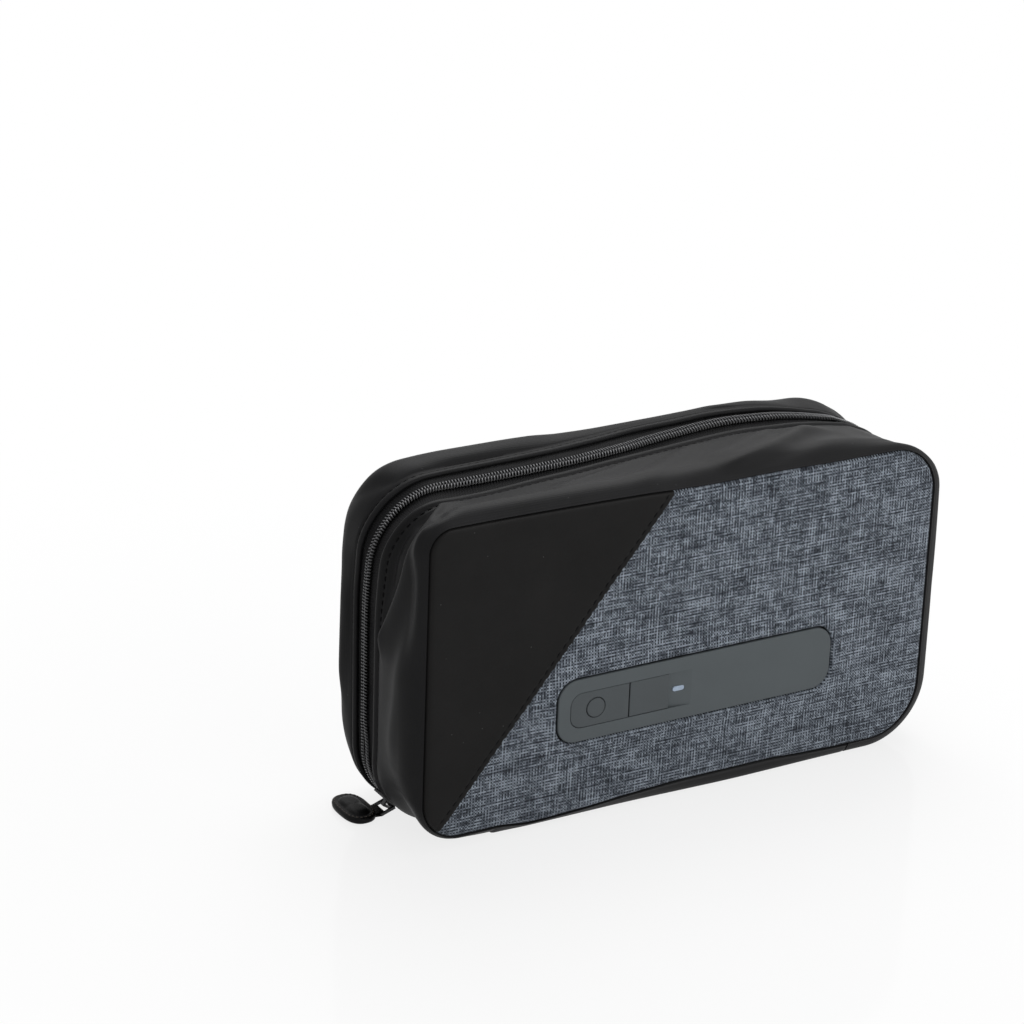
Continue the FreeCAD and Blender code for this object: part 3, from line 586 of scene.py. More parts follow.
@dataclass(frozen=True)
class CoatedCloth(Finish):
    """Soft coated fabric: nearly smooth, with a fine grain, faint rubbed patches and a few lint specks."""

    name: str = "coated_cloth"
    colour: Colour = (0.0075, 0.0075, 0.0080)
    roughness: float = 0.50
    grain: float = 2400.0
    lint: float = 0.30
    gloss: float = 0.10
    thread: float = 9000.0
    lint_colour: Colour = (0.16, 0.16, 0.16)

    def fill(self, recipe: Recipe) -> None:
        """Add the patches, the lint and two sizes of relief."""
        fine = recipe.grain(self.grain, 2.0, 0.6)
        x, y, z = (recipe.math("SINE", part) for part in recipe.split(recipe.coordinates(self.thread)))
        threads = recipe.math("ADD", recipe.math("MULTIPLY", x, z), y)
        patches = recipe.grain(45.0, 4.0, 0.6)
        tone = recipe.shades(patches, self.colour, (0.25, 0.8), (0.75, 1.3))
        speck = recipe.math("LESS_THAN", recipe.cells(210.0), 0.035)
        speck = recipe.math("MULTIPLY", speck, recipe.math("GREATER_THAN", patches, 0.5))
        share = recipe.math("MULTIPLY", speck, self.lint)
        inputs = {"Factor": share, "A": tone, "B": self.lint_colour}
        recipe.set(Base_Color=recipe.add("Mix", "Result", inputs, data_type="RGBA"))
        recipe.set(Specular_IOR_Level=self.gloss)
        recipe.set(Roughness=recipe.spread(patches, self.roughness - 0.05, self.roughness + 0.07))
        relief = recipe.add("Bump", "Normal", {"Strength": 0.25, "Distance": 0.00003, "Height": threads})
        recipe.bump(fine, 0.00010, 0.35, relief)


@dataclass(frozen=True)
class TapeWeave(Finish):
    """Zip tape: a close herringbone of dark threads that follows the tape."""

    name: str = "tape_weave"
    colour: Colour = (0.0085, 0.0085, 0.0090)
    rib: float = 0.0011

    def fill(self, recipe: Recipe) -> None:
        """Add the herringbone and its fuzz."""
        flat = recipe.coordinates((TURN / self.rib, TURN / self.rib, 1.0), cloth=True)
        along, across, _ = recipe.split(flat)
        bend = recipe.math("PINGPONG", across, math.pi)
        twill = recipe.math("SINE", recipe.math("ADD", along, bend))
        fuzz = recipe.grain(3200.0, 2.0, 0.6)
        level = recipe.math("MULTIPLY_ADD", twill, 0.18, fuzz)
        recipe.set(Base_Color=recipe.shades(level, self.colour, (0.25, 0.55), (0.8, 1.9)), Roughness=0.85)
        recipe.set(Specular_IOR_Level=0.10, Sheen_Weight=0.03, Sheen_Roughness=0.4)
        recipe.bump(recipe.math("MULTIPLY_ADD", twill, 0.6, fuzz), 0.00012, 0.7)


@dataclass(frozen=True)
class CoilNylon(Finish):
    """Zip coil: glossy black nylon, with a painted highlight that lightens the crest of every loop."""

    name: str = "coil_nylon"
    low: Colour = (0.004, 0.004, 0.0042)
    crest_highlight: Colour = (0.080, 0.081, 0.086)

    def fill(self, recipe: Recipe) -> None:
        """Add the painted highlight on the crests: the flat map's second part is the height in the loop, from
        -1 to 1.
        """
        _, height, _ = recipe.split(recipe.coordinates((1 / MM, 1 / MM, 1.0), cloth=True))
        fine = recipe.grain(2600.0, 2.0, 0.6)
        level = recipe.math("MULTIPLY_ADD", height, 0.5, recipe.math("MULTIPLY_ADD", fine, 0.16, 0.42))
        # painted highlight: the top of every loop is lightened towards the pale crest colour
        tone = recipe.ramp(level, (0.45, self.low), (0.80, scaled(self.crest_highlight, 0.35)), (0.98, self.crest_highlight))
        recipe.set(Base_Color=tone, Specular_IOR_Level=0.5, Roughness=recipe.spread(fine, 0.2, 0.34))
        recipe.bump(fine, 0.00002, 0.5)


@dataclass(frozen=True)
class Moulded(Finish):
    """Moulded plastic, rubber or painted metal: fine texture, cloudy gloss and a trace of colour drift."""

    name: str
    colour: Colour
    roughness: float = 0.5
    metal: float = 0.0
    texture: float = 1800.0
    depth: float = 0.00004
    gloss: float = 0.5
    drift: float = 0.10

    def fill(self, recipe: Recipe) -> None:
        """Add the drift, the cloudy gloss and the texture."""
        fine = recipe.grain(self.texture, 2.0, 0.6)
        cloud = recipe.grain(70.0, 3.0, 0.55)
        stops = ((0.2, 1 - self.drift), (0.8, 1 + self.drift))
        recipe.set(Base_Color=recipe.shades(recipe.about(fine, 0.35, cloud), self.colour, *stops))
        recipe.set(Metallic=self.metal, Specular_IOR_Level=self.gloss)
        recipe.set(Roughness=recipe.spread(cloud, self.roughness - 0.06, self.roughness + 0.06))
        recipe.bump(fine, self.depth, 0.5)


@dataclass(frozen=True)
class PaintedGlowGuide(Finish):
    """Milky light guide: pale and cloudy, with a faint painted glow that stands in for light from behind."""

    name: str = "milky_guide"
    colour: Colour = (0.30, 0.37, 0.47)
    glow: Colour = (0.50, 0.62, 0.80)
    strength: float = 0.05

    def fill(self, recipe: Recipe) -> None:
        """Add the clouds and the painted glow."""
        cloud = recipe.grain(900.0)
        recipe.set(Base_Color=recipe.shades(cloud, self.colour, (0.2, 0.92), (0.8, 1.06)), Roughness=0.3)
        # painted glow: a faint emission lightens the guide, with no lamp behind it
        recipe.set(Emission_Color=self.glow, Emission_Strength=self.strength)
        recipe.bump(cloud, 0.00002, 0.3)


@dataclass(frozen=True)
class ReflectiveFilm(Finish):
    """Metallised lining film: bright, with fine crinkles in two sizes."""

    name: str = "reflective_film"
    colour: Colour = (0.78, 0.79, 0.81)
    crinkle: float = 150.0

    def fill(self, recipe: Recipe) -> None:
        """Add both sizes of crinkles."""
        fine = recipe.grain(self.crinkle * 4, 3.0, 0.55)
        tone = recipe.shades(fine, self.colour, (0.2, 0.86), (0.8, 1.08))
        recipe.set(Base_Color=tone, Metallic=0.9, Roughness=recipe.spread(fine, 0.24, 0.38))
        creases = recipe.cells(self.crinkle)
        relief = recipe.add("Bump", "Normal", {"Strength": 0.35, "Distance": 0.0006, "Height": creases})
        recipe.bump(fine, 0.0003, 0.4, relief)


@dataclass(frozen=True)
class CircuitBoard(Finish):
    """Laminate with faint tracks under the lacquer."""

    name: str
    colour: Colour
    track: Colour

    def fill(self, recipe: Recipe) -> None:
        """Add the tracks as the joints of a brick pattern."""
        inputs = {
            "Vector": recipe.coordinates((220.0, 1.0, 220.0)), "Scale": 1.0, "Mortar Size": 0.05,
            "Color1": self.colour, "Color2": scaled(self.colour, 0.85), "Mortar": self.track,
        }
        tracks = recipe.add("TexBrick", "Color", inputs)
        recipe.set(Base_Color=tracks, Roughness=recipe.spread(recipe.grain(1500.0), 0.3, 0.42))
        recipe.bump(tracks.node.outputs["Fac"], 0.00003, 0.4)


@dataclass(frozen=True)
class ClearQuartz(Finish):
    """Polished lamp window with a trace of haze."""

    name: str = "clear_quartz"
    dull: Colour = (0.88, 0.9, 0.95)
    clear: Colour = (0.95, 0.96, 1.0)

    def fill(self, recipe: Recipe) -> None:
        """Add the haze."""
        haze = recipe.grain(400.0)
        recipe.set(Base_Color=recipe.ramp(haze, (0.2, self.dull), (0.8, self.clear)))
        recipe.set(Roughness=recipe.spread(haze, 0.02, 0.08), IOR=1.46, Transmission_Weight=0.9)


@dataclass(frozen=True)
class PaddedLeather(Finish):
    """Soft leather: a net of small grain cells with rubbed high spots."""

    name: str = "padded_leather"
    colour: Colour = (0.0030, 0.0030, 0.0032)
    cells: float = 1700.0

    def fill(self, recipe: Recipe) -> None:
        """Add the rubbed spots and the grain."""
        cloud = recipe.grain(260.0, 3.0, 0.6)
        recipe.set(Base_Color=recipe.shades(cloud, self.colour, (0.25, 0.7), (0.75, 1.7)))
        recipe.set(Specular_IOR_Level=0.08, Roughness=recipe.spread(cloud, 0.34, 0.48))
        recipe.bump(recipe.cells(self.cells), 0.00010, 0.55)


@dataclass(frozen=True)
class Finishes:
    """All the finishes of the case, made once."""

    made: dict[str, Material]

    @classmethod
    def prepare(cls) -> "Finishes":
        """Make each material under its working name."""
        kinds = {
            "heather": HeatherCloth(),
            "black": CoatedCloth(),
            "overlay": CoatedCloth("overlay_cloth", (0.0086, 0.0083, 0.0082), 0.62, 2100.0, 0.5),
            "tape": TapeWeave(),
            "coil": CoilNylon(),
            "thread": Moulded(
                "sewing_thread", (0.0035, 0.0035, 0.0038), 0.75, 0.0, 6000.0, 0.00006, 0.10, 0.4
            ),
            "edge_thread": Moulded(
                "edge_thread", (0.050, 0.036, 0.028), 0.65, 0.0, 6000.0, 0.00006, 0.4, 0.4
            ),
            "film": ReflectiveFilm(),
            "stiffener": Moulded("stiff_board", (0.05, 0.05, 0.052), 0.7, 0.0, 900.0, 0.00008),
            "fascia": Moulded("fascia_rubber", (0.080, 0.092, 0.098), 0.56, 0.0, 2600.0, 0.00005, 0.25, 0.06),
            "silicone": Moulded(
                "silicone_skin", (0.070, 0.079, 0.084), 0.60, 0.0, 3200.0, 0.00004, 0.22, 0.06
            ),
            "plastic": Moulded("black_plastic", (0.012, 0.012, 0.013), 0.42, 0.0, 2200.0, 0.00005),
            "guide": PaintedGlowGuide(),
            "steel": Moulded("bright_steel", (0.56, 0.56, 0.57), 0.26, 1.0, 900.0, 0.00002, 0.5, 0.08),
            "board": CircuitBoard("circuit_board", (0.012, 0.075, 0.035), (0.03, 0.13, 0.06)),
            "lamp_board": CircuitBoard("lamp_board", (0.72, 0.72, 0.70), (0.58, 0.58, 0.57)),
            "pouch": Moulded("battery_pouch", (0.50, 0.51, 0.53), 0.34, 0.8, 700.0, 0.00010, 0.5, 0.12),
            "housing": Moulded("housing_shell", (0.62, 0.63, 0.64), 0.44, 0.0, 1900.0, 0.00005, 0.5, 0.05),
            "package": Moulded("lamp_package", (0.66, 0.62, 0.50), 0.40, 0.0, 1500.0, 0.00003),
            "quartz": ClearQuartz(),
            "metal": Moulded("black_metal", (0.035, 0.035, 0.037), 0.33, 0.85, 1400.0, 0.00003, 0.5, 0.25),
            "leather": PaddedLeather(),
        }
        return cls({name: kind.make() for name, kind in kinds.items()})

    def dress(self, piece: Object, name: str) -> None:
        """Give a piece one finish in place of what it has."""
        piece.data.materials.clear()
        piece.data.materials.append(self.made[name])

    def fit(self, piece: Object, finish: str, slot: str, body: str | None, *nodes: str,
            fill: float | None = None) -> Object:
        """Dress a piece, hide the solids that it stands for and attach it to its body, if it has one.

        Args:
            piece: the piece.
            finish: working name of its finish.
            slot: material slot that it shows; not used.
            body: body that it rides on; none if it is blended between two.
            nodes: solids that it stands for.
            fill: share of padding, for a padded piece; not used.

        Returns:
            The piece.
        """
        if nodes:
            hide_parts(*nodes)
        self.dress(piece, finish)
        if body is not None:
            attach(piece, body)
        return piece


@dataclass(frozen=True)
class CaseForm:
    """The soft outline that every layer of the case follows, in millimetres.

    The loop runs from the right end of the base, round the right side, over the top and down the left
    side to the left end of the base. A place on it is a length along the outline of the zip.
    """

    half_width: float
    height: float
    lip: float
    base_end: float
    zip_depth: float
    half_channel: float
    seam_inset: float = 5.0
    corner: float = 28.0
    proud: float = 1.7
    slider_corner: int = 3
    slider_band: float = 11.0
    lean_reach: float = 5.0
    front_corners: tuple[float, ...] = (26.0, 24.0, 14.0, 21.0)
    rear_corners: tuple[float, ...] = (34.0, 38.0, 20.0, 42.0)

    @classmethod
    def from_frame(cls) -> "CaseForm":
        """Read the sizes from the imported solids."""
        low, high = box_mm("front_gusset")
        rear_low, _ = box_mm("rear_gusset")
        _, base_high = box_mm("base_panel")
        zip_depth = (high[1] + rear_low[1]) / 2
        return cls(high[0], high[2], -low[1], base_high[0], zip_depth, rear_low[1] - zip_depth)

    @property
    def runs(self) -> Array:
        """Lengths of the nine runs of the loop: straight, corner, straight and so on."""
        foot = self.half_width - self.corner - self.base_end
        arc = self.corner * math.pi / 2
        side = self.height - 2 * self.corner
        top = 2 * (self.half_width - self.corner)
        return np.array([foot, arc, side, arc, top, arc, side, arc, foot])

    @property
    def length(self) -> float:
        """Whole length of the loop."""
        return float(self.runs.sum())

    def drift(self, along: Array) -> Array:
        """How far the zip wanders backwards from its plane: a smooth curve through listed places."""
        stops = (0, 60, 130, 175, 196, 220, 250, 273, 295, 330, 366, 409, 440, 472, 514)
        return ease(along, stops, (0, 0.3, 1.2, 1.5, 3.0, 4.4, 2.8, -0.4, -2.8, -3.8, -3.0, 1.4, 0.8, 0, 0))

    def slack(self, along: Array, side: Side) -> Array:
        """How far the middle of a gusset stands proud of its edges."""
        if side is Side.FRONT:
            stops = (0, 25, 60, 100, 122, 145, 215, 262, 330, 366, 400, 440, 470, 514)
            return ease(along, stops, (0, 0.3, 2.0, 2.0, 1.0, 0.2, 0.6, 0.3, 0.8, 0.5, 1.0, 1.0, 0.1, 0))
        stops = (0, 25, 70, 120, 150, 176, 195, 222, 258, 308, 335, 352, 366, 380, 398, 440, 470, 514)
        rises = (0, 0.1, 0.8, 0.6, 0.1, 0.5, 1.5, 1.0, 1.5, 3.5, 3.8, 2.8, 1.0, 0.1, 1.4, 1.2, 0.1, 0)
        return ease(along, stops, rises)

    def sink(self, along: Array, depth: Array) -> Array:
        """How far the corners without a board behind them give in, as an inset.

        Each dent is one curve along the loop times one across the depth.
        """
        stops = (116, 138, 150, 162, 172, 183, 197, 216, 240, 264)
        upper = ease(along, stops, (0, 3.0, 5.6, 5.2, 3.0, 0.7, -1.0, -1.6, -0.8, 0))
        upper = upper * ease(depth, (-30, -24, -17, 10, 20, 28), (0, 0.75, 1, 1, 0.5, 0))
        lower = ease(along, (455, 474, 500, 513), (0, 4.2, 4.2, 0))
        lower = lower * ease(depth, (-31, -24, -17, -6), (0, 0.7, 1, 0))
        creased = ease(along, (338, 350, 364, 392, 410, 426), (0, 3.2, 4.8, 4.8, 2.6, 0))
        return upper + lower + creased * ease(depth, (-29, -22, -9, -3.5), (0, 1, 1, 0))

    def lean(self, along: Array, depth: Array) -> Array:
        """How far the zip's band rises towards the rear: its tilt times the distance from the zip.

        The distance levels off like a hyperbolic tangent and fades out at both panel seams.
        """
        tilt = ease(along, (120, 165, 205, 330, 362, 398), (0, 5, 20, 22, 10, 0))
        away = depth - self.zip_depth
        fade = ease(away, (-34, -9, 9, 23), (0, 1, 1, 0))
        return np.tan(np.radians(tilt)) * self.lean_reach * np.tanh(away / self.lean_reach) * fade

    def crown_run(self, along: Array) -> Array:
        """Distance over which a gusset rolls out from its seam: short on the right, long elsewhere."""
        return ease(along, (0, 60, 125, 165, 514), (4.0, 3.8, 3.8, 9.5, 9.5))

    def gape(self, along: Array, side: Side) -> Array:
        """How much further than half the channel a hem stands from the zip."""
        if side is Side.FRONT:
            stops = (0, 60, 130, 181, 207, 243, 275, 300, 330, 366, 410, 455, 478, 514)
            return ease(along, stops, (0, 0.5, 0.5, 0.6, 0.8, 0, -1.2, -0.6, 1.8, 2.8, 2.2, 1.6, 0, 0))
        stops = (0, 60, 130, 180, 225, 256, 300, 366, 410, 455, 478, 514)
        return ease(along, stops, (0, 0.3, 0, -1.6, -1.6, 0.4, 1.0, 0.4, 0.3, 0.2, 0, 0))

    def corner_at(self, which: int, depth: Array) -> Array:
        """Radius of one corner of the loop, from the front seam through the zip to the rear seam.

        The slider's corner keeps one radius across the band that the slider runs on.
        """
        even = self.slider_band if which == self.slider_corner else 0.0
        stops = (-self.lip, self.zip_depth - even, self.zip_depth + even, self.lip)
        radii = (self.front_corners[which], self.corner, self.corner, self.rear_corners[which])
        return np.interp(depth, stops, radii)

    def loop(self, along: Array, inset: Array, depth: Array) -> tuple[Array, Array, Array, Array]:
        """Place on the outline: nine runs, each a straight or a quarter circle shared out evenly.

        Args:
            along: length along the loop.
            inset: how far inside the outline.
            depth: depth at which the corner radii are read.

        Returns:
            Across and up of the place, and across and up of its outward direction.
        """
        along, inset, depth = np.broadcast_arrays(along, inset, depth)
        runs = self.runs
        starts = np.concatenate([[0.0], np.cumsum(runs)])
        run = np.clip(np.searchsorted(starts, along, side="right") - 1, 0, 8)
        part = (along - starts[run]) / runs[run]
        wide = self.half_width - inset
        low = inset
        high = self.height - inset
        radius = [np.maximum(self.corner_at(k, depth) - inset, 1.0) for k in range(4)]
        centre_x = [wide - radius[0], wide - radius[1], radius[2] - wide, radius[3] - wide]
        centre_z = [low + radius[0], high - radius[1], high - radius[2], low + radius[3]]
        is_corner = run % 2 == 1
        straight = run // 2
        nearest = np.minimum(straight, 3)
        turn = np.where(is_corner, part + nearest - 1, np.array([-1, 0, 0, 1, 1, 2, 2, 3, 3])[run])
        out_x = np.cos(turn * math.pi / 2)
        out_z = np.sin(turn * math.pi / 2)
        round_x = np.choose(nearest, centre_x) + np.choose(nearest, radius) * out_x
        round_z = np.choose(nearest, centre_z) + np.choose(nearest, radius) * out_z
        flat_x = [
            self.base_end + (centre_x[0] - self.base_end) * part,
            wide,
            centre_x[1] + (centre_x[2] - centre_x[1]) * part,
            -wide,
            centre_x[3] + (-self.base_end - centre_x[3]) * part,
        ]
        flat_z = [
            low,
            centre_z[0] + (centre_z[1] - centre_z[0]) * part,
            high,
            centre_z[2] + (centre_z[3] - centre_z[2]) * part,
            low,
        ]
        x = np.where(is_corner, round_x, np.choose(straight, flat_x))
        z = np.where(is_corner, round_z, np.choose(straight, flat_z))
        return x, z, out_x, out_z

    def points(self, along: Array, inset: Array, depth: Array, follow: Array | float = 1.0) -> Array:
        """Points of a layer: the loop at an inset with its dents, moved in depth with the zip's drift.

        Args:
            along: length along the loop.
            inset: how far inside the outline.
            depth: depth before the drift.
            follow: share of the drift.

        Returns:
            The points.
        """
        depth = np.asarray(depth, float)
        inset = inset + self.sink(along, depth) - self.lean(along, depth)
        depth = depth + self.drift(along) * follow
        x, z, _, _ = self.loop(along, inset, depth)
        return together(x, depth, z)

    def seam_rise(self, x: Array, z: Array) -> Array:
        """How far the top of the front seam stands above straight, fading out at half the height."""
        stops = (-110, -88, -60, -21, -5, 13, 35, 57, 85, 110)
        rise = ease(x, stops, (3.2, 3.3, 3.0, 2.2, 1.5, 1.1, 1.2, 0.7, 0.4, 0))
        return rise * ease(z, (60, 112), (0, 1))

    def seam_wave(self, x: Array) -> Array:
        """How far the lower front seam rises or dips from straight."""
        return ease(x, (-79, -64, -44, -20, 5, 40, 57, 79), (0, -1.5, -1.0, 0.4, 1.3, 1.3, 0.4, -0.3))


@dataclass(frozen=True)
class Fold:
    """A crease of slack fabric: a ridge along a path on a gusset, with a valley beyond its steep side.

    The path gives lengths along the loop and the place across there, 0 at the panel seam and 1 at the hem.
    """

    path: tuple[tuple[float, float], ...]
    rise: float
    gentle: float
    steep: float
    valley: float = 0.0
    steep_to_hem: bool = True
    fade: float = 7.0

    def lift(self, along: Array, share: Array, span: float) -> Array:
        """Rise at a place: a bell across the path, wide on one side and narrow on the other.

        Args:
            along: length along the loop.
            share: place across the gusset.
            span: width of the gusset.

        Returns:
            The rise in millimetres.
        """
        stops, places = zip(*self.path)
        aside = (share - ease(along, stops, places)) * span * (1 if self.steep_to_hem else -1)
        ridge = np.exp(-((aside / np.where(aside > 0, self.steep, self.gentle)) ** 2))
        dip = np.exp(-(((aside - 2 * self.steep) / (1.2 * self.steep)) ** 2))
        ends = (stops[0] - self.fade, stops[0] + self.fade, stops[-1] - self.fade, stops[-1] + self.fade)
        return ease(along, ends, (0, 1, 1, 0)) * (self.rise * ridge - self.valley * dip)


@dataclass(frozen=True)
class Seam:
    """Sizes of a row of stitches, in millimetres."""

    pitch: float = 3.3
    length: float = 2.5
    radius: float = 0.36
    dive: float = 0.35


def sew(name: str, line: Array, outward: Array, seam: Seam) -> Object:
    """Lay stitches along a line: each is a spindle that bows up in the middle and dives at its ends.

    Along a stitch, place runs from -1 to 1; the radius is the root of one less the place to the fourth,
    and the height falls with the square of the place.

    Args:
        name: name of the piece.
        line: points along the seam.
        outward: outward direction at each point, or one for all.
        seam: sizes of the stitches.

    Returns:
        The row of stitches as one object.
    """
    outward = np.broadcast_to(outward, line.shape)
    steps = np.linalg.norm(np.diff(line, axis=0), axis=1)
    length = np.concatenate([[0.0], np.cumsum(steps)])
    count = max(int(length[-1] / seam.pitch), 1)
    middles = (np.arange(count) + 0.5) * length[-1] / count
    place = np.linspace(-0.98, 0.98, 7)
    where = middles[:, None] + place[None] * seam.length / 2
    centre, up = (
        np.stack([np.interp(where, length, track[:, k]) for k in range(3)], -1) for track in (line, outward)
    )
    up = unit(up)
    beside = unit(np.cross(unit(np.gradient(centre, axis=1)), up))
    centre = centre + up * (-seam.dive * place**2)[None, :, None]
    thick = seam.radius * np.sqrt(1 - place**4)
    ring = ray_angles(6)
    across = np.cos(ring)[None, None, :, None] * beside[:, :, None]
    raised = np.sin(ring)[None, None, :, None] * up[:, :, None]
    shell = Shell()
    shell.copies(centre[:, :, None] + thick[None, :, None, None] * (across + raised))
    return shell.make(name, 80)


@dataclass
class Gusset:
    """One half of the side wall: a padded band that rolls in to the panel seam and folds over at the zip."""

    form: CaseForm
    finishes: Finishes
    side: Side
    folds: tuple[Fold, ...]
    hem: float = 4.2
    stitch_back: float = 3.0
    deepest: float = 1.2
    stations: int = 700
    flank: int = 48

    @property
    def hem_reach(self) -> float:
        """Distance from the panel seam to the folded hem."""
        hem = self.form.zip_depth + self.side.value * self.form.half_channel
        return self.form.lip - self.side.value * hem

    def profile(self, along: Array) -> tuple[Array, Array, Array]:
        """Closed profile of the band: seam bead, crowned flank, sewn groove, folded hem, and back inside.

        The flank's inset falls from the bead with a power of the distance that is left of its run.

        Args:
            along: lengths along the loop, as a column.

        Returns:
            Inset at each length and point, then depth from the seam and share of the puff of each point.
        """
        end = self.hem_reach
        run = end - self.hem
        start = 0.3 - self.form.proud
        flank = start + (run - start) * np.linspace(0, 1, self.flank) ** 1.35
        share = np.sin(math.pi * np.clip(flank / run, 0, 1)) ** 0.7
        bead_depth = np.array([2.2, 0.2, -0.9, -1.5, -1.68]) - 1.7 + self.form.proud
        hem_inset = (0.05, 0.4, 0.5, 0.38, 0.0, -0.35, -0.5, -0.35, 0.05, 0.6, 1.15, 1.5)
        hem_back = np.array([3.7, 3.3, 3.0, 2.7, 2.3, 1.8, 1.2, 0.55, 0.12, 0.0, 0.15, 0.7])
        inner_depth = (end - 4, end * 0.6, 7.0, 4.2)
        inner_inset = (WALL, WALL, WALL, 2.6)
        rolled = roll(1 - (flank - start) / self.form.crown_run(along))
        edge, back = (np.tile(part, (len(along), 1)) for part in (BEAD, hem_inset + inner_inset))
        depth = np.concatenate([bead_depth, flank, end - hem_back, inner_depth])
        share = np.concatenate([np.zeros(edge.shape[1]), share, np.zeros(back.shape[1])])
        return np.concatenate([edge, rolled, back], axis=1), depth, share

    def follow(self, depth: Array) -> Array:
        """Share of the zip's drift: none at the seam, all at the hem, a smooth step between."""
        part = np.clip((depth - 3) / (self.hem_reach - 7), 0, 1)
        return part * part * (3 - 2 * part)

    def points(self, along: Array, inset: Array, depth: Array) -> Array:
        """Points at a depth from the panel seam, on the drifting outline."""
        follow = self.follow(depth)
        pulled = depth - self.form.gape(along, self.side) * follow
        points = self.form.points(along, inset, self.side.value * (self.form.lip - pulled), follow)
        if self.side is Side.FRONT:
            rise = self.form.seam_rise(points[..., 0], points[..., 2])
            points[..., 2] += rise * ease(np.broadcast_to(depth, rise.shape), (1, 15), (1, 0))
        points[..., 2] = np.maximum(points[..., 2], FLOOR_GAP)
        return points

    def lift(self, along: Array, depth: Array, share: Array) -> Array:
        """Rise of the skin: the slack bulge plus every fold, where the skin is free."""
        span = self.hem_reach
        rise = self.form.slack(along, self.side) * share
        for fold in self.folds:
            rise = rise + fold.lift(along, depth / span, span) * np.minimum(share * 2.2, 1)
        return np.maximum(rise, -self.deepest)

    def build(self) -> list[Object]:
        """Make the band and its row of stitches.

        Returns:
            The two pieces.
        """
        along = np.linspace(0, self.form.length, self.stations)[:, None]
        inset, depth, share = self.profile(along)
        rise = self.lift(along, depth[None], share[None])
        width = np.cumsum(np.hypot(np.gradient(inset.mean(axis=0)), np.gradient(depth)))
        shell = Shell()
        shell.tube(self.points(along, inset - rise, depth[None]), together(along, width[None]))
        word = self.side.word
        band = shell.make(f"{word}_gusset_skin", 60)
        self.finishes.fit(band, "black", "black_fabric", self.side.body, f"{word}_gusset", fill=0.35)
        return [band, self.stitches()]

    def stitches(self) -> Object:
        """Sew the hem: short tapered threads in the groove, one after the other along the loop."""
        line = np.linspace(4, self.form.length - 4, 2000)
        depth = np.full_like(line, self.hem_reach - self.stitch_back)
        rows = self.points(line, np.full_like(line, 0.42), depth)
        _, _, out_x, out_z = self.form.loop(line, 0.0, rows[:, 1])
        piece = sew(f"{self.side.word}_hem_stitches", rows, together(out_x, 0.0, out_z), Seam())
        return self.finishes.fit(piece, "thread", "black_fabric", self.side.body)


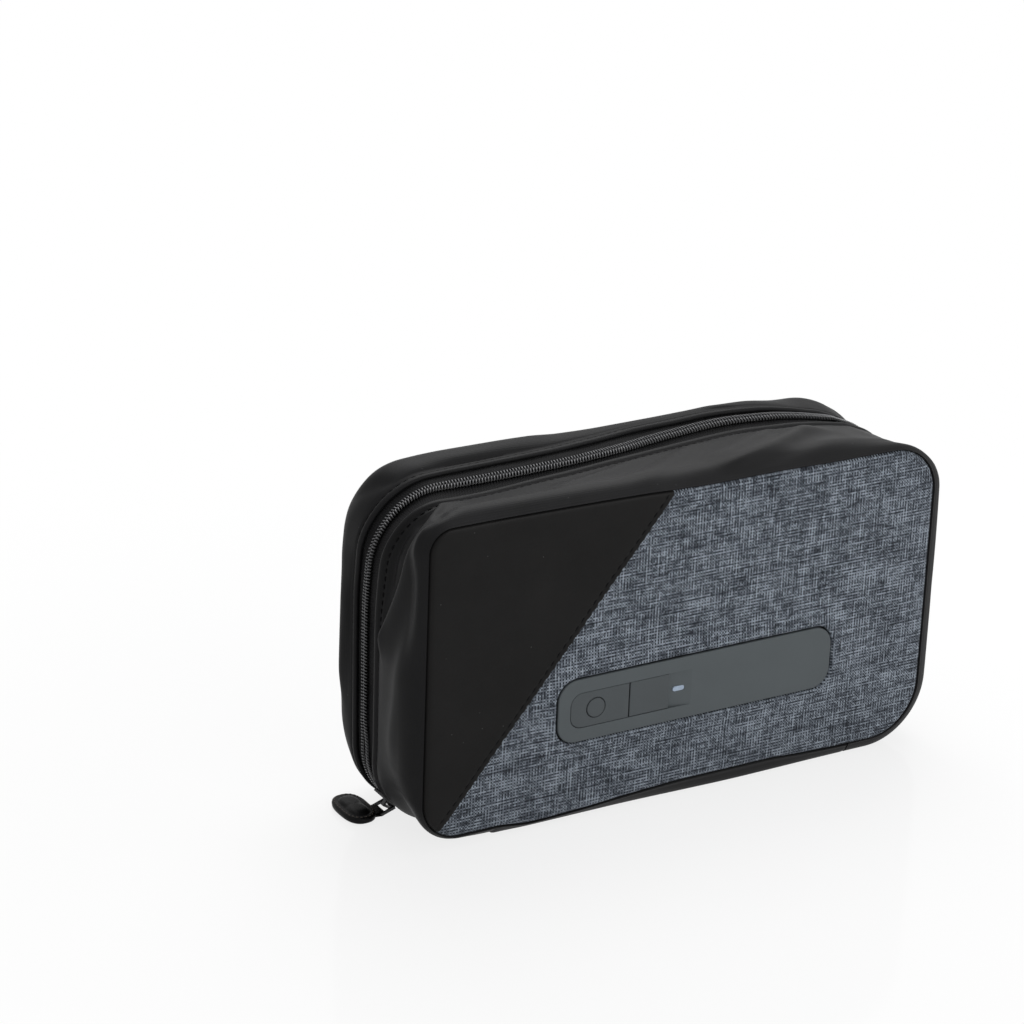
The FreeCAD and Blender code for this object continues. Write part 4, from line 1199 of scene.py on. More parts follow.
@dataclass
class BaseStrip:
    """The strip under the case, turned up into both panel seams, with its lining and corner webs."""

    form: CaseForm
    finishes: Finishes
    run: float = 6.5
    lip_gap: float = 0.3
    tuck: float = 0.5
    web_fold: float = -0.0125
    stations: int = 120

    def build(self) -> list[Object]:
        """Make the strip, the lining on it and the two corner webs."""
        return [self.strip(), self.lining(), self.web("left", -1), self.web("right", 1)]

    def strip(self) -> Object:
        """Carry a closed trough profile along the base; its front lip follows the wavy seam.

        Across the profile the height is the inset of the roll at each side and zero between. Both ends
        are tucked in by a bell along the strip.
        """
        lip = self.form.lip
        out = lip + self.form.proud
        rolled = self.lip_gap + self.run * np.linspace(0, 1, 14)
        back = np.concatenate([[3.9, 1.9, 0.8, 0.2, 0.02], rolled])
        middle = np.linspace(-out + self.run + self.lip_gap, out - self.run - self.lip_gap, 17)[1:-1]
        inner_y = np.array([lip - 3.4, lip - 5.2, lip - 8, 0, 8 - lip, 5.2 - lip, 3.4 - lip])
        inner_z = (3.4, 2.0, WALL, WALL, WALL, 2.0, 3.4)
        y = np.concatenate([back - out, middle, (out - back)[::-1], inner_y])
        x = np.linspace(-self.form.base_end, self.form.base_end, self.stations)[:, None]
        run = ease(x, (-79, -30, 30, 79), (self.run, 5.6, 3.2, 4.0))
        bead, flat, inside = (np.tile(part, (len(x), 1)) for part in (BEAD, 0 * middle, inner_z))
        rise = np.concatenate([bead, roll(1 - (rolled - self.lip_gap) / run)], axis=1)
        z = np.concatenate([rise, flat, rise[:, ::-1], inside], axis=1)
        front = np.clip(-y / lip, 0, 1) ** 2
        height = z * (1 + front[None] * self.form.seam_wave(x) / self.form.seam_inset)
        tuck = self.tuck * np.exp(-((self.form.base_end - np.abs(x)) / 0.7) ** 2)
        bend = 0.22 * np.sin(x / 9.0 + y[None] / 14.0) * (z < 0.01)
        height = height + tuck * (z < 1.0) + np.maximum(bend, 0)
        shell = Shell()
        shell.tube(together(x, y[None] * (1 - tuck / lip), height), together(x, y[None]))
        piece = shell.make("base_strip_skin", 60)
        return self.finishes.fit(piece, "black", "black_fabric", "rear_half", "base_panel", fill=0.3)

    def lining(self) -> Object:
        """A thin crinkled plate of film on the base: a closed slab whose height ripples in two waves."""
        low, high = box_mm("base_liner")
        x = np.linspace(low[0], high[0], 90)[:, None]
        y = np.linspace(low[1], high[1], 30)[None]
        ripple = 0.16 * np.sin(x / 3.1 + np.sin(y / 4.0) * 1.7) * np.sin(y / 2.7 + x / 11.0)
        top = together(x, y, high[2] + ripple)
        under = together(x, y, low[2] + 0.02)
        shell = Shell()
        shell.tube(np.concatenate([top, under[:, ::-1]], axis=1))
        piece = shell.make("base_film", 70)
        self.finishes.fit(piece, "film", "reflective_lining", "rear_half", "base_liner")
        return piece

    def web(self, word: str, sign: int) -> Object:
        """A folded web of fabric at one end of the base, closed, rippling slightly along its run.

        Args:
            word: which end.
            sign: the way in which it bows.

        Returns:
            The web, blended from the rear half to the front half over its height.
        """
        node = f"corner_pleat_{word}"
        low, high = box_mm(node)
        y = np.linspace(low[1], high[1], 40)[:, None]
        z = np.linspace(low[2], high[2], 12)[None]
        bow = 0.12 * sign * np.sin(math.pi * (z - low[2]) / (high[2] - low[2]))
        ripple = 0.08 * np.sin(y / 2.3) + bow
        outer = together(high[0] + ripple, y, z)
        inner = together(low[0] + ripple, y, z)
        shell = Shell()
        shell.tube(np.concatenate([outer, inner[:, ::-1]], axis=1))
        piece = shell.make(f"corner_web_{word}", 70)
        self.finishes.fit(piece, "black", "black_fabric", None, node, fill=0.1)
        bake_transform(piece)
        return piece


@dataclass
class FacePanels:
    """The padded panels: heather front round the fascia, black overlay on its corner, and the rear."""

    form: CaseForm
    finishes: Finishes
    join_top: tuple[float, float] = (-8.3, 126.3)
    join_foot: tuple[float, float] = (-103.2, 9.4)
    overlay_middle: tuple[float, float] = (-78.0, 88.0)
    rays: int = 720
    rings: int = 46
    back: float = 28.02
    overlap: float = 2.0
    fascia_corner: float = 8.0
    hole_gap: float = 0.75
    hole_shift: float = 0.35
    scallop: float = 3.8
    scallop_depth: float = 0.22
    stitch_inset: float = 2.2
    stitch_level: float = 0.62
    padding: float = 0.5
    roll_rise: float = 2.0
    roll_run: float = 0.55
    crown_rise: float = 0.35
    crown_run: float = 8.0
    ripple: float = 0.10
    swell: float = 0.95
    swell_run: float = 6.0
    dip: float = 2.1
    dip_run: float = 0.45
    dent: float = 0.9
    dent_place: tuple[float, float] = (97.0, 17.0)
    dent_size: tuple[float, float] = (9.0, 7.0)
    fold_edge: float = 0.08
    fold_rise: float = 0.82
    fold_run: float = 0.35
    sewn_depth: float = 0.30
    sewn_width: float = 0.5

    def build(self) -> list[Object]:
        """Make the three panels and the stitches of the join."""
        return [self.heather(), self.overlay(), self.join_stitches(), self.rear()]

    def from_fascia(self, x: Array, z: Array) -> Array:
        """Distance outside the fascia's edge."""
        middle, half = middle_half("fascia")
        return rounded_distance(x - middle[0], z - middle[2], half[::2], self.fascia_corner)

    @property
    def join_run(self) -> Array:
        """Way from the top to the foot of the diagonal join, across and up."""
        return np.array(self.join_foot) - np.array(self.join_top)

    def from_join(self, x: Array, z: Array) -> Array:
        """Distance from the diagonal join, positive on the black side."""
        run = self.join_run
        return ((x - self.join_top[0]) * run[1] - (z - self.join_top[1]) * run[0]) / np.hypot(*run)

    def from_fold(self, x: Array, z: Array) -> Array:
        """Distance from the overlay's folded edge: the join, drawn in by a cosine at every stitch."""
        run = self.join_run
        along = ((x - self.join_top[0]) * run[0] + (z - self.join_top[1]) * run[1]) / np.hypot(*run)
        return self.from_join(x, z) - self.scallop_depth * np.cos(TURN * along / self.scallop)

    def from_seam(self, x: Array, z: Array, side: Side) -> Array:
        """Distance to the panel seam, below zero inside; the front's seam waves at its foot and top."""
        inset = self.form.seam_inset
        middle = self.form.height / 2
        corners = self.form.front_corners if side is Side.FRONT else self.form.rear_corners
        upper = np.where(x > 0, corners[1], corners[2])
        lower = np.where(x > 0, corners[0], corners[3])
        radius = np.where(z > middle, upper, lower) - inset
        if side is Side.FRONT:
            z = z - self.form.seam_wave(x) * ease(z, (0, 8, 40), (1, 1, 0)) - self.form.seam_rise(x, z)
        return rounded_distance(x, z - middle, (self.form.half_width - inset, middle - inset), radius)

    def level(self, x: Array, z: Array, side: Side) -> Array:
        """Distance of the panel's face from the middle of the case.

        It starts in the seam ditch, rises in a short exponential roll and a long shallow one and ripples
        by a tenth of a millimetre. The front swells beside the fascia, dips at its edge and has one dent.
        """
        inside = np.maximum(-self.from_seam(x, z, side), 0)
        rise = self.roll_rise * (1 - np.exp(-inside / self.roll_run))
        rise = rise + self.crown_rise * (1 - np.exp(-inside / self.crown_run))
        waves = np.sin(x / 17 + 1.3) * np.sin(z / 13 + 0.4) + 0.6 * np.sin(x / 7.1 + z / 9.3)
        level = self.form.lip + 0.1 + rise + self.ripple * waves * np.minimum(inside / self.crown_run, 1)
        if side is Side.FRONT:
            gap = np.maximum(self.from_fascia(x, z), 0)
            level = level + self.swell * np.exp(-((gap / self.swell_run) ** 2))
            level = level - self.dip * np.exp(-gap / self.dip_run)
            dent_x = (x - self.dent_place[0]) / self.dent_size[0]
            dent_z = (z - self.dent_place[1]) / self.dent_size[1]
            level = level - self.dent * np.exp(-(dent_x**2) - dent_z**2)
        return level

    def disc(self, centre: tuple[float, float], outside: Distance) -> tuple[Array, Array]:
        """Rings that widen from a centre to an edge, closest together at the edge.

        Args:
            centre: where the rays start.
            outside: signed distance of a place from the edge.

        Returns:
            Across and up of the rings' points.
        """
        angles = ray_angles(self.rays)
        spread = np.sin(np.linspace(0, math.pi / 2, self.rings))[1:, None]
        return polar(centre, spread * reach(angles, centre, outside), angles)

    def heather(self) -> Object:
        """Front panel: rays from the fascia's middle, from its edge out to the seam, then back inside."""

        def past_hole(x: Array, z: Array) -> Array:
            """Distance outside the opening for the fascia, which sits a little up and left of it."""
            return self.from_fascia(x + self.hole_shift, z - self.hole_shift) - self.hole_gap

        def past_edge(x: Array, z: Array) -> Array:
            """Distance outside the panel's cut edge, which runs a little under the overlay."""
            return np.maximum(self.from_seam(x, z, Side.FRONT), self.from_join(x, z) - self.overlap)

        centre = tuple(middle_half("fascia")[0][::2])
        angles = ray_angles(self.rays)
        near = reach(angles, centre, past_hole)[:, None]
        far = reach(angles, centre, past_edge)[:, None]
        spread = 0.5 - 0.5 * np.cos(np.linspace(0, math.pi, self.rings))
        front = near + (far - near) * spread[None]
        x, z = polar(centre, np.concatenate([front, front[:, ::-3]], axis=1), angles[:, None])
        y = -self.level(x, z, Side.FRONT)
        y[:, self.rings:] = -self.back
        shell = Shell()
        shell.grid(together(x, y, z), round_rows=True, round_columns=True)
        piece = shell.make("front_heather_cloth", 70)
        return self.finishes.fit(
            piece, "heather", "heather_fabric", "front_half", "front_panel_heather", fill=self.padding
        )

    def overlay(self) -> Object:
        """Black corner: rays from its middle to its edge; the folded edge lies on the heather.

        The lift over the panel grows within half a millimetre of the fold and dips at the stitches.
        """

        def past_edge(x: Array, z: Array) -> Array:
            """Distance outside the overlay."""
            return np.maximum(self.from_seam(x, z, Side.FRONT), -self.from_fold(x, z))

        x, z = self.disc(self.overlay_middle, past_edge)
        from_edge = np.maximum(self.from_fold(x, z), 0)
        sewn = np.exp(-(((from_edge - self.stitch_inset) / self.sewn_width) ** 2))
        lift = self.fold_edge + self.fold_rise * (1 - np.exp(-from_edge / self.fold_run))
        lift = lift - self.sewn_depth * sewn
        lift = lift * np.minimum(np.maximum(-self.from_seam(x, z, Side.FRONT), 0) + 0.2, 1)
        level = self.level(x, z, Side.FRONT)
        under = np.where(from_edge < self.overlap + 0.3, level + 0.02, self.back)
        shell = Shell()
        shell.ball(np.concatenate([together(x, -level - lift, z), together(x, -under, z)[::-3]]))
        piece = shell.make("front_black_overlay", 70)
        return self.finishes.fit(
            piece, "overlay", "black_fabric", "front_half", "front_panel_black", fill=self.padding
        )

    def join_stitches(self) -> Object:
        """Sew the overlay's fold: a row of stitches inside the diagonal edge, one to each scallop."""
        share = np.linspace(0.012, 0.988, 600)[:, None]
        run = self.join_run
        inward = np.array([run[1], -run[0]]) / np.hypot(*run)
        x, z = (np.array(self.join_top) + share * run + self.stitch_inset * inward).T
        rows = together(x, -self.level(x, z, Side.FRONT) - self.stitch_level, z)
        piece = sew("join_stitches", rows, np.array([0.0, -1.0, 0.0]), Seam(self.scallop, 3.0))
        return self.finishes.fit(piece, "thread", "black_fabric", "front_half")

    def rear(self) -> Object:
        """Rear panel: rays from its middle to the rear seam, crowned, and flat behind."""
        x, z = self.disc((0.0, self.form.height / 2), partial(self.from_seam, side=Side.REAR))
        face = together(x, self.level(x, z, Side.REAR), z)
        shell = Shell()
        shell.ball(np.concatenate([face, together(x, self.back, z)[::-3]]))
        piece = shell.make("rear_heather_cloth", 70)
        return self.finishes.fit(
            piece, "heather", "heather_fabric", "rear_half", "rear_panel", fill=self.padding
        )


@dataclass
class Zip:
    """The zip: two woven tapes, two coils that mesh, and the sewn tail past the slider."""

    form: CaseForm
    finishes: Finishes
    pitch: float = 1.26
    strand: float = 0.30
    loop_points: int = 10
    strand_sides: int = 5
    coil_middle: float = 0.80
    coil_half: float = 1.06
    coil_rise: float = 0.72
    parting: float = 1.0
    coil_low: float = 1.30
    tape_outer: float = 1.62
    tape_inner: float = 2.25
    tape_points: int = 9
    tape_step: float = 1.6
    tape_wide: float = 10.0
    tape_lap: float = 0.6
    tail_wide: float = 5.5
    end_gap: float = 0.5
    coil_gap: float = 0.8
    sag: float = 0.12
    sag_run: float = 4.3
    parting_start: float = 36.0
    tape_parted: float = 22.0
    coil_parted: float = 20.0
    coil_flat: tuple[float, float, float] = (8.0, 22.0, 34.0)
    narrowest_sheet: float = 10.0

    def build(self) -> list[Object]:
        """Make both tapes, both coils and the tail."""
        whole = self.form.length
        stop = self.front_end
        wide = self.tape_wide
        lap = self.tape_lap
        return [
            self.tape("zip_tape_front", Side.FRONT, self.end_gap, stop, (wide, lap)),
            self.tape("zip_tape_rear", Side.REAR, 0.0, whole, (lap, wide)),
            self.tape("zip_tape_tail", Side.REAR, stop + self.end_gap, whole, (self.tail_wide, -lap)),
            self.coil(Side.FRONT, self.coil_gap, stop),
            self.coil(Side.REAR, self.coil_gap, whole - 1.0),
        ]

    @property
    def front_end(self) -> float:
        """Length along the loop where the front chain stops: on the left, just above the tail's solid."""
        _, high = box_mm("zip_tape_tail")
        corner = self.form.corner
        angle = math.asin((corner - high[2] - self.end_gap) / (corner - self.tape_outer))
        return float(self.form.runs[:7].sum() + corner * angle)

    def tape(self, node: str, side: Side, start: float, stop: float, edges: tuple[float, float]) -> Object:
        """A flat closed band under the coil, a little wavy; its inner edge draws back at the slider.

        Args:
            node: the solid that it stands for.
            side: the half that it rides on.
            start: where it starts along the loop.
            stop: where it ends.
            edges: how far it reaches before and behind the zip's plane.

        Returns:
            The tape.
        """
        along = np.linspace(start, stop, max(int((stop - start) / self.tape_step), 12))[:, None]
        before, behind = edges
        end = self.front_end
        stops = (end - self.parting_start, end - self.tape_parted)
        parted = 2 * ease(along, stops, (0, 1)) * max(min(edges), 0.0)
        across = np.linspace(-before, behind, self.tape_points)[None]
        if side is Side.FRONT:
            across = np.minimum(across, behind - parted)
        else:
            across = np.maximum(across, parted - before)
        bow = np.sin(np.linspace(0, math.pi, self.tape_points))[None]
        sag = self.sag * np.sin(along / self.sag_run) * bow
        top = self.form.points(along, self.tape_outer + sag, self.form.zip_depth + across)
        under = self.form.points(along, self.tape_inner, self.form.zip_depth + across)
        flat = together(along, across)
        shell = Shell()
        faces = ((top, under), (flat, flat))
        shell.tube(*(np.concatenate([one, other[:, ::-1]], axis=1) for one, other in faces))
        piece = shell.make(node.replace("zip_", "zip_woven_"), 60)
        self.finishes.fit(piece, "tape", "zip_tape", side.body, node)
        return piece

    def coil(self, side: Side, start: float, stop: float) -> Object:
        """One half of the chain: a thin tube along a flattened helix.

        Turn by turn the strand swings across by a cosine and up and down by a sine while it advances by
        the pitch; the other half is its mirror image, half a pitch further on. Both draw apart and lie
        flatter where they run into the slider.

        Args:
            side: the half that it rides on.
            start: where it starts along the loop.
            stop: where it ends.

        Returns:
            The coil.
        """
        count = int((stop - start) / self.pitch) * self.loop_points + 1
        phase = np.arange(count) * TURN / self.loop_points
        shift = 0.0 if side is Side.FRONT else self.pitch / 2
        along = start + shift + phase / TURN * self.pitch
        end = self.front_end
        stops = (end - self.parting_start, end - self.coil_parted)
        middle = self.coil_middle + self.parting * ease(along, stops, (0, 1))
        depth = self.form.zip_depth + side.value * (middle - self.coil_half * np.cos(phase))
        low, full, flatter = self.coil_flat
        stops = (low, full, end - flatter, end - self.coil_parted)
        rise = self.coil_rise * ease(along, stops, (0.5, 1, 1, 0.5))
        inset = self.coil_low - rise - rise * np.sin(phase)
        line = self.form.points(along, inset, depth)
        run = unit(self.form.points(along + 0.05, inset, depth) - line)
        other = unit(np.cross(unit(np.gradient(line, axis=0)), run))
        ring = ray_angles(self.strand_sides)
        spoke = np.cos(ring)[None, :, None] * run[:, None] + np.sin(ring)[None, :, None] * other[:, None]
        # the flat map's second part is the height in the loop, which the coil's material turns into a painted
        # highlight on the crests
        flat = together(along, np.sin(phase))[:, None]
        shell = Shell()
        shell.tube(line[:, None] + self.strand * spoke, np.broadcast_to(flat, (count, self.strand_sides, 2)))
        piece = shell.make(f"zip_coil_{side.word}", 80)
        return self.finishes.fit(piece, "coil", "zip_coil", side.body, f"zip_chain_{side.word}")


@dataclass
class Lining:
    """The reflective trays inside both halves."""

    form: CaseForm
    finishes: Finishes
    outer: float = 2.45
    inner: float = 2.90
    floor_far: float = 26.35
    floor_near: float = 25.95
    floor_inset: float = 7.5
    floor_corner: float = 18.0
    hole_inset: float = 1.5
    hole_corner: float = 6.5
    zip_reach: float = 7.0
    bend: float = 2.2
    end_gap: float = 0.6
    floor_lap: float = 9.5
    padding: float = 0.1
    wall_points: int = 14

    def build(self) -> list[Object]:
        """Make both trays."""
        return [self.tray(side) for side in Side]

    def crinkle(self, x: Array, z: Array) -> Array:
        """Small uneven relief: two products of sines of unlike lengths."""
        first = np.sin(x / 3.7 + 1.4 * np.sin(z / 6.1)) * np.sin(z / 3.1 + 0.9 * np.sin(x / 5.3))
        return 0.13 * first + 0.06 * np.sin(x / 1.7 + z / 2.3)

    def tray(self, side: Side) -> Object:
        """A wall round the loop that turns in over a floor, and the floor as a ring or a full plate."""
        sign = side.value
        edge = self.form.zip_depth + sign * self.zip_reach
        along = np.linspace(self.end_gap, self.form.length - self.end_gap, 300)[:, None]
        ramp = np.linspace(0, 1, self.wall_points)
        foot = self.floor_near - self.bend
        turn = np.linspace(0, math.pi / 2, 6)[1:]
        turned = sign * (foot + self.bend * np.sin(turn))
        depth = np.concatenate([edge + (sign * foot - edge) * ramp, turned, [sign * self.floor_near]])
        wall = np.full(self.wall_points, self.inner)
        inset = np.concatenate([wall, self.inner + self.bend * (1 - np.cos(turn)), [self.floor_lap]])
        follow = np.concatenate([1 - ramp, np.zeros(6)])
        relief = self.crinkle(along, depth[None] * 3) * np.concatenate([np.ones(18), [0.3, 0.0]])[None]
        near = self.form.points(along, inset[None] + np.abs(relief), depth[None], follow[None])
        behind = np.full(self.wall_points, self.outer)
        far_inset = np.minimum(inset, np.concatenate([behind, inset[self.wall_points:] - 0.4]))
        far_depth = np.where(np.abs(depth) > self.floor_near - 0.5, depth + sign * 0.3, depth)
        far = self.form.points(along, far_inset[None], far_depth[None], follow[None])
        shell = Shell()
        shell.tube(np.concatenate([near, far[:, ::-1]], axis=1))
        self.floor(shell, side)
        piece = shell.make(f"{side.word}_film_tray", 70)
        return self.finishes.fit(
            piece, "film", "reflective_lining", side.body, f"{side.word}_liner", fill=self.padding
        )

    def floor(self, shell: Shell, side: Side) -> None:
        """Add the floor: rays from its middle, or from the opening for the module, to the tray's corner.

        Args:
            shell: the shell to add it to.
            side: which half.
        """
        opening, hole = middle_half("fascia")
        middle = self.form.height / 2
        half = (self.form.half_width - self.floor_inset, middle - self.floor_inset)

        def past_edge(x: Array, z: Array) -> Array:
            """Distance outside the floor's edge."""
            return rounded_distance(x, z - middle, half, self.floor_corner)

        def past_hole(x: Array, z: Array) -> Array:
            """Distance outside the opening for the module."""
            return rounded_distance(
                x - opening[0], z - opening[2], hole[::2] - self.hole_inset, self.hole_corner
            )

        angles = ray_angles(360)
        if side is Side.FRONT:
            centre = (opening[0], opening[2])
            near = reach(angles, centre, past_hole)
        else:
            centre = (0.0, middle)
            near = np.full_like(angles, 0.4)
        far = reach(angles, centre, past_edge)
        share = np.linspace(0, 1, 40)[:, None]
        x, z = polar(centre, near + (far - near) * share, angles)
        relief = np.abs(self.crinkle(x, z)) * np.minimum(np.minimum(share, 1 - share) * 8, 1)
        near_face = together(x, side.value * (self.floor_near - 0.02 - relief), z)
        points = np.concatenate([near_face, together(x, side.value * self.floor_far, z)[::-4]])
        if side is Side.FRONT:
            shell.grid(points, round_rows=True, round_columns=True)
        else:
            shell.ball(points)


@dataclass
class PullTab:
    """The padded oval on the zip's pull, with its sewn edge and the loop round the link."""

    finishes: Finishes
    rim: float = 2.6
    power: float = 2.5
    stitch_inset: float = 1.15
    strap: float = 0.42
    neck_in: float = 2.0
    neck_drop: float = 0.25
    neck_gap: float = 0.12
    neck_side: float = 1.25
    padding: float = 0.6
    rays: int = 120

    def build(self) -> list[Object]:
        """Make the padded oval, its edge stitches and the neck loop."""
        return [self.oval(), self.edge_stitches(), self.neck()]

    def outline(self) -> tuple[tuple[float, float], tuple[float, float]]:
        """Middle and half sizes of the oval, across and in depth, from the padded centre and its rim."""
        middle, half = middle_half("pull_padding")
        return tuple(middle[:2]), tuple(half[:2] + self.rim)

    def edge(self, angles: Array) -> Array:
        """Length from the middle to the oval's edge, a superellipse."""
        _, half = self.outline()
        across = (np.abs(np.cos(angles)) / half[0]) ** self.power
        return (across + (np.abs(np.sin(angles)) / half[1]) ** self.power) ** (-1 / self.power)

    def oval(self) -> Object:
        """Rings from the middle over the padding, down the sewn rim, round the edge and back below.

        Each ring has a distance inwards from the edge, a level and a share of its full width.
        """
        low, high = box_mm("pull_tab")
        _, pad_high = box_mm("pull_padding")
        middle, _ = self.outline()
        angles = ray_angles(self.rays)
        over_pad = (0.03, 0.02, 0.0, -0.05, -0.18, -0.42, -0.7)
        over_rim = (0.02, -0.12, -0.05, 0.0, -0.02, -0.2, -0.6, -1.2)
        over_floor = (0.5, 0.08, 0.0, 0.0, 0.0, 0.0)
        starts = (pad_high[2] + 0.35, high[2], low[2])
        parts = zip(starts, (over_pad, over_rim, over_floor))
        level = np.concatenate([start + np.array(part) for start, part in parts])
        inward = np.array([6.3, 6.2, 6.0, 5.0, 4.2, 3.6, 3.2, 2.9, 2.6, 2.2, 1.6, 1.0, 0.5, 0.15, 0.0,
                           0.15, 0.6, 2.0, 4.0, 4.0, 4.0])
        share = np.concatenate([[0.25, 0.7], np.ones(17), [0.7, 0.25]])
        lengths = np.maximum((self.edge(angles) - inward[:, None]) * share[:, None], 0.05)
        x, y = polar(middle, lengths, angles)
        shell = Shell()
        shell.ball(together(x, y, level[:, None]), together(x, y))
        piece = shell.make("pull_padded_oval", 60)
        return self.finishes.fit(
            piece, "leather", "black_leather", "zip_pull", "pull_tab", "pull_padding", fill=self.padding
        )

    def edge_stitches(self) -> Object:
        """Sew the rim: short threads all round, a little inside the edge."""
        _, high = box_mm("pull_tab")
        angles = np.linspace(0, TURN, 400)
        x, y = polar(self.outline()[0], self.edge(angles) - self.stitch_inset, angles)
        rows = together(x, y, high[2] + 0.02)
        piece = sew("pull_edge_stitches", rows, np.array([0.0, 0.0, 1.0]), Seam(1.7, 1.35, 0.17, 0.2))
        return self.finishes.fit(piece, "edge_thread", "black_leather", "zip_pull")

    def neck(self) -> Object:
        """The loop of the tab round the link's bar: a flat strap bent round and sewn into the oval."""
        low, high = box_mm("pull_tab")
        link_middle, link_half = middle_half("pull_link")
        middle, half = self.outline()
        radius = (high[2] - low[2]) / 2
        bar_x = high[0] - radius
        bar_z = (high[2] + low[2]) / 2
        arc = np.linspace(math.pi / 2, -math.pi / 2, 15)
        inside = middle[0] + half[0] - self.neck_in

        def strap(size: float, upper: float, lower: float) -> tuple[Array, Array]:
            """One face of the strap: from the oval round the bar and back, across and up."""
            x, z = polar((bar_x, bar_z), size, arc)
            return np.concatenate([[inside], x, [inside]]), np.concatenate([[upper], z, [lower]])

        outer_x, outer_z = strap(radius, high[2] - self.neck_drop, low[2] + self.neck_drop)
        inner_x, inner_z = strap(radius - self.strap, bar_z + self.neck_gap, bar_z - self.neck_gap)
        width = link_half[1] - self.neck_side
        y = link_middle[1] + np.linspace(-width, width, 7)[:, None]
        x = np.concatenate([outer_x, inner_x[::-1]])[None]
        z = np.concatenate([outer_z, inner_z[::-1]])[None]
        shell = Shell()
        shell.tube(together(x, y, z))
        piece = shell.make("pull_neck_loop", 50)
        return self.finishes.fit(piece, "leather", "black_leather", "zip_pull")


@dataclass(frozen=True)
class HardParts:
    """The rigid solids that keep their shape: they get their finish, the soft mouldings rounded edges too."""

    finishes: Finishes
    edge_round: float = 0.30
    weld: float = 0.002
    flat_angle: float = 1.0
    sharp_angle: float = 50.0
    mouldings: tuple[str, ...] = ("key_pad", "port_flap", "button_cap")

    def soften(self, piece: Object) -> None:
        """Round the sharp edges of a moulded solid slightly.

        Args:
            piece: Solid whose corners and flat faces are joined before its edges are rounded.
        """
        welded = piece.modifiers.new("welded corners", "WELD")
        welded.merge_threshold = self.weld * MM
        joined = piece.modifiers.new("joined faces", "DECIMATE")
        joined.decimate_type = "DISSOLVE"
        joined.angle_limit = math.radians(self.flat_angle)
        edges = piece.modifiers.new("rounded edges", "BEVEL")
        edges.width = self.edge_round * MM
        edges.segments = 2
        edges.limit_method = "ANGLE"
        edges.angle_limit = math.radians(self.sharp_angle)
        edges.harden_normals = True

    def dress(self) -> list[str]:
        """Give each rigid solid its finish.

        Returns:
            Names of the dressed solids.
        """
        numbers = range(1, 5)
        looks = {
            "fascia": ("fascia",),
            "silicone": self.mouldings,
            "guide": ("indicator_lens",),
            "plastic": ("switch_plunger", "tact_switch", "port_tongue"),
            "steel": ("port_shell", "housing_screw_left", "housing_screw_right"),
            "board": ("main_board",),
            "pouch": ("battery_cell",),
            "housing": ("module_housing",),
            "lamp_board": ("lamp_board",),
            "stiffener": ("front_board", "rear_board"),
            "metal": ("slider_body", "pull_link"),
            "package": tuple(f"uvc_led_{number}" for number in numbers),
            "quartz": tuple(f"lamp_window_{number}" for number in numbers),
        }
        for finish, names in looks.items():
            for name in names:
                self.finishes.dress(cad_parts[name], finish)
        for name in self.mouldings:
            self.soften(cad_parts[name])
        return sorted(name for names in looks.values() for name in names)


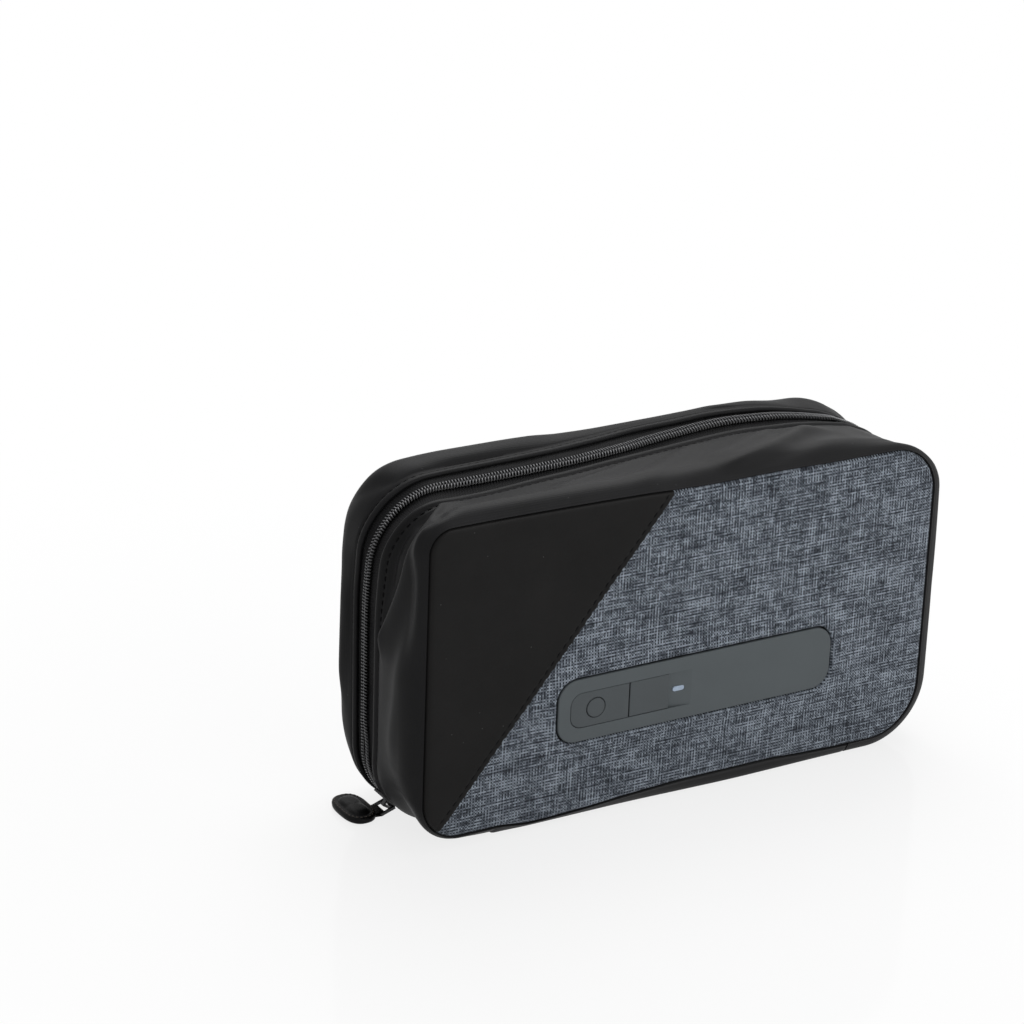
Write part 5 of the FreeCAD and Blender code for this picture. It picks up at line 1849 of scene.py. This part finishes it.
@dataclass(frozen=True)
class Studio:
    """Camera, lamps, pale floor and world."""

    azimuth: float = -30.8066
    elevation: float = 22.6027
    roll: float = 2.1406
    distance: float = 1.32525
    lens: float = 123.05
    aim: tuple[float, float, float] = (0.0, 0.001, 0.066)
    slide: tuple[float, float] = (-0.0500949, 0.0337985)
    lamp_aim: tuple[float, float, float] = (0.0, 0.0, 0.06)
    dim: float = 0.40
    floor_half: float = 6000.0
    floor_level: float = -0.02

    def camera(self) -> None:
        """Stand the camera where the case was seen from: angles about a point, then a slide and a roll."""
        swing = math.radians(self.azimuth)
        rise = math.radians(self.elevation)
        back = Vector((math.sin(swing) * math.cos(rise), -math.cos(swing) * math.cos(rise), math.sin(rise)))
        right = Vector((math.cos(swing), math.sin(swing), 0.0))
        up = back.cross(right)
        spot = Vector(self.aim) + right * self.slide[0] + up * self.slide[1] + back * self.distance
        tilt = math.radians(self.roll)
        side = right * math.cos(tilt) + up * math.sin(tilt)
        head = up * math.cos(tilt) - right * math.sin(tilt)
        data = bpy.data.cameras.new("camera")
        data.lens = self.lens
        data.sensor_width = 36.0
        data.clip_end = 20.0
        camera = bpy.data.objects.new("camera", data)
        camera.matrix_world = Matrix((
            (side.x, head.x, back.x, spot.x),
            (side.y, head.y, back.y, spot.y),
            (side.z, head.z, back.z, spot.z),
            (0.0, 0.0, 0.0, 1.0),
        ))
        bpy.context.scene.collection.objects.link(camera)
        bpy.context.scene.camera = camera

    def lamp(self, name: str, spot: tuple[float, float, float], size: float, power: float) -> None:
        """Hang a square soft lamp that faces the case."""
        data = bpy.data.lights.new(name, "AREA")
        data.shape = "SQUARE"
        data.size = size
        data.energy = power
        lamp = bpy.data.objects.new(name, data)
        lamp.location = spot
        lamp.rotation_euler = (Vector(self.lamp_aim) - Vector(spot)).to_track_quat("-Z", "Y").to_euler()
        bpy.context.scene.collection.objects.link(lamp)

    def world(self) -> None:
        """Pale even surroundings, white behind the case."""
        world = bpy.data.worlds.new("surroundings")
        bpy.context.scene.world = world
        world.use_nodes = True
        tree = Tree(world.node_tree)
        dim = tree.nodes["Background"]
        tree.link(WHITE, dim.inputs["Color"])
        tree.link(self.dim, dim.inputs["Strength"])
        white = tree.add("Background", 0, {"Color": WHITE, "Strength": 1.0})
        tree.show(tree.seen(), dim.outputs[0], white, "World Output")

    def floor(self) -> Object:
        """A wide pale floor that keeps the shadow and shows a faint mirror image."""
        span = np.linspace(-self.floor_half, self.floor_half, 5)
        x, y = np.meshgrid(span, span, indexing="ij")
        shell = Shell()
        shell.grid(together(x, y, self.floor_level), together(x, y))
        floor = shell.make("floor")
        recipe = Recipe("pale_floor")
        recipe.set(Base_Color=(0.86, 0.86, 0.86), Roughness=0.10, Specular_IOR_Level=0.5)
        glow = recipe.add("Emission", 0, {"Color": WHITE, "Strength": 1.0})
        away = recipe.add("VectorMath", "Value", {0: recipe.place["Object"]}, operation="LENGTH")
        stops = {"Value": away, "From Min": 0.16, "From Max": 0.42, "To Min": 0.80, "To Max": 1.0}
        fade = recipe.add("MapRange", "Result", stops, interpolation_type="SMOOTHSTEP")
        share = recipe.math("MULTIPLY", recipe.seen(), fade)
        recipe.show(share, recipe.shader.outputs[0], glow, "Material Output")
        floor.data.materials.append(recipe.material)
        return floor

    def set_up(self) -> None:
        """Make the whole studio."""
        bpy.context.scene.view_settings.view_transform = "Standard"
        self.camera()
        self.world()
        self.floor()
        self.lamp("top_lamp", (0.25, 0.40, 1.0), 0.8, 9.5)
        self.lamp("front_lamp", (0.2, -1.5, 0.6), 0.8, 6.5)
        self.lamp("right_lamp", (1.2, -0.6, 0.6), 0.7, 3.0)


FRONT_FOLDS = (
    Fold(((340, 0.95), (350, 0.66), (357, 0.45), (371, 0.27), (386, 0.33), (396, 0.50), (406, 0.66),
          (418, 0.80)), 3.4, 8.0, 1.7, 1.0),
    Fold(((356, 0.90), (370, 0.76), (384, 0.70), (400, 0.76), (420, 0.80)), 1.0, 2.6, 2.2),
    Fold(((246, 0.95), (262, 0.80), (280, 0.62), (300, 0.50)), 1.5, 5.5, 4.0, 0.4),
    Fold(((232, 0.86), (250, 0.58), (272, 0.30)), 1.1, 5.5, 4.5, 0.3),
    Fold(((188, 0.72), (204, 0.48), (220, 0.26), (238, 0.10)), 1.9, 5.0, 3.6, 0.7, False),
    Fold(((200, 0.90), (214, 0.62), (240, 0.34)), 1.3, 4.5, 3.4, 0.5, False),
    Fold(((412, 0.28), (430, 0.34), (452, 0.46)), 0.7, 5.0, 3.5, 0.2),
    Fold(((62, 0.70), (90, 0.55), (118, 0.38)), 1.0, 5.0, 3.0, 0.3),
    Fold(((84, 0.22), (106, 0.50), (126, 0.80)), -0.7, 4.5, 3.5),
)

REAR_FOLDS = (
    Fold(((198, 0.98), (206, 0.80), (214, 0.62)), 0.5, 4.0, 2.4, 0.5),
    Fold(((284, 0.40), (310, 0.55), (334, 0.60)), 0.6, 5.0, 3.0),
    Fold(((352, 0.85), (362, 0.50), (374, 0.25)), -0.7, 3.5, 3.0),
    Fold(((408, 0.60), (430, 0.45), (450, 0.30)), 0.8, 5.0, 3.0, 0.2),
    Fold(((78, 0.30), (98, 0.50), (120, 0.70)), 0.9, 5.0, 3.0, 0.2),
    Fold(((138, 0.80), (148, 0.50), (160, 0.20)), -0.6, 3.8, 3.0),
)


def main() -> None:
    """Build the case piece by piece, dress the rigid solids and set up the studio."""
    logging.basicConfig(level=logging.INFO, format="%(name)s: %(message)s")
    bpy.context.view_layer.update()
    finishes = Finishes.prepare()
    form = CaseForm.from_frame()
    assemblies = (
        Gusset(form, finishes, Side.FRONT, FRONT_FOLDS),
        Gusset(form, finishes, Side.REAR, REAR_FOLDS),
        BaseStrip(form, finishes),
        FacePanels(form, finishes),
        Zip(form, finishes),
        Lining(form, finishes),
        PullTab(finishes),
    )
    for assembly in assemblies:
        for piece in assembly.build():
            log.info("%s: %d faces", piece.name, len(piece.data.polygons))
    for name in HardParts(finishes).dress():
        log.info("%s: dressed", name)
    Studio().set_up()


if __name__ == "__main__":
    main()
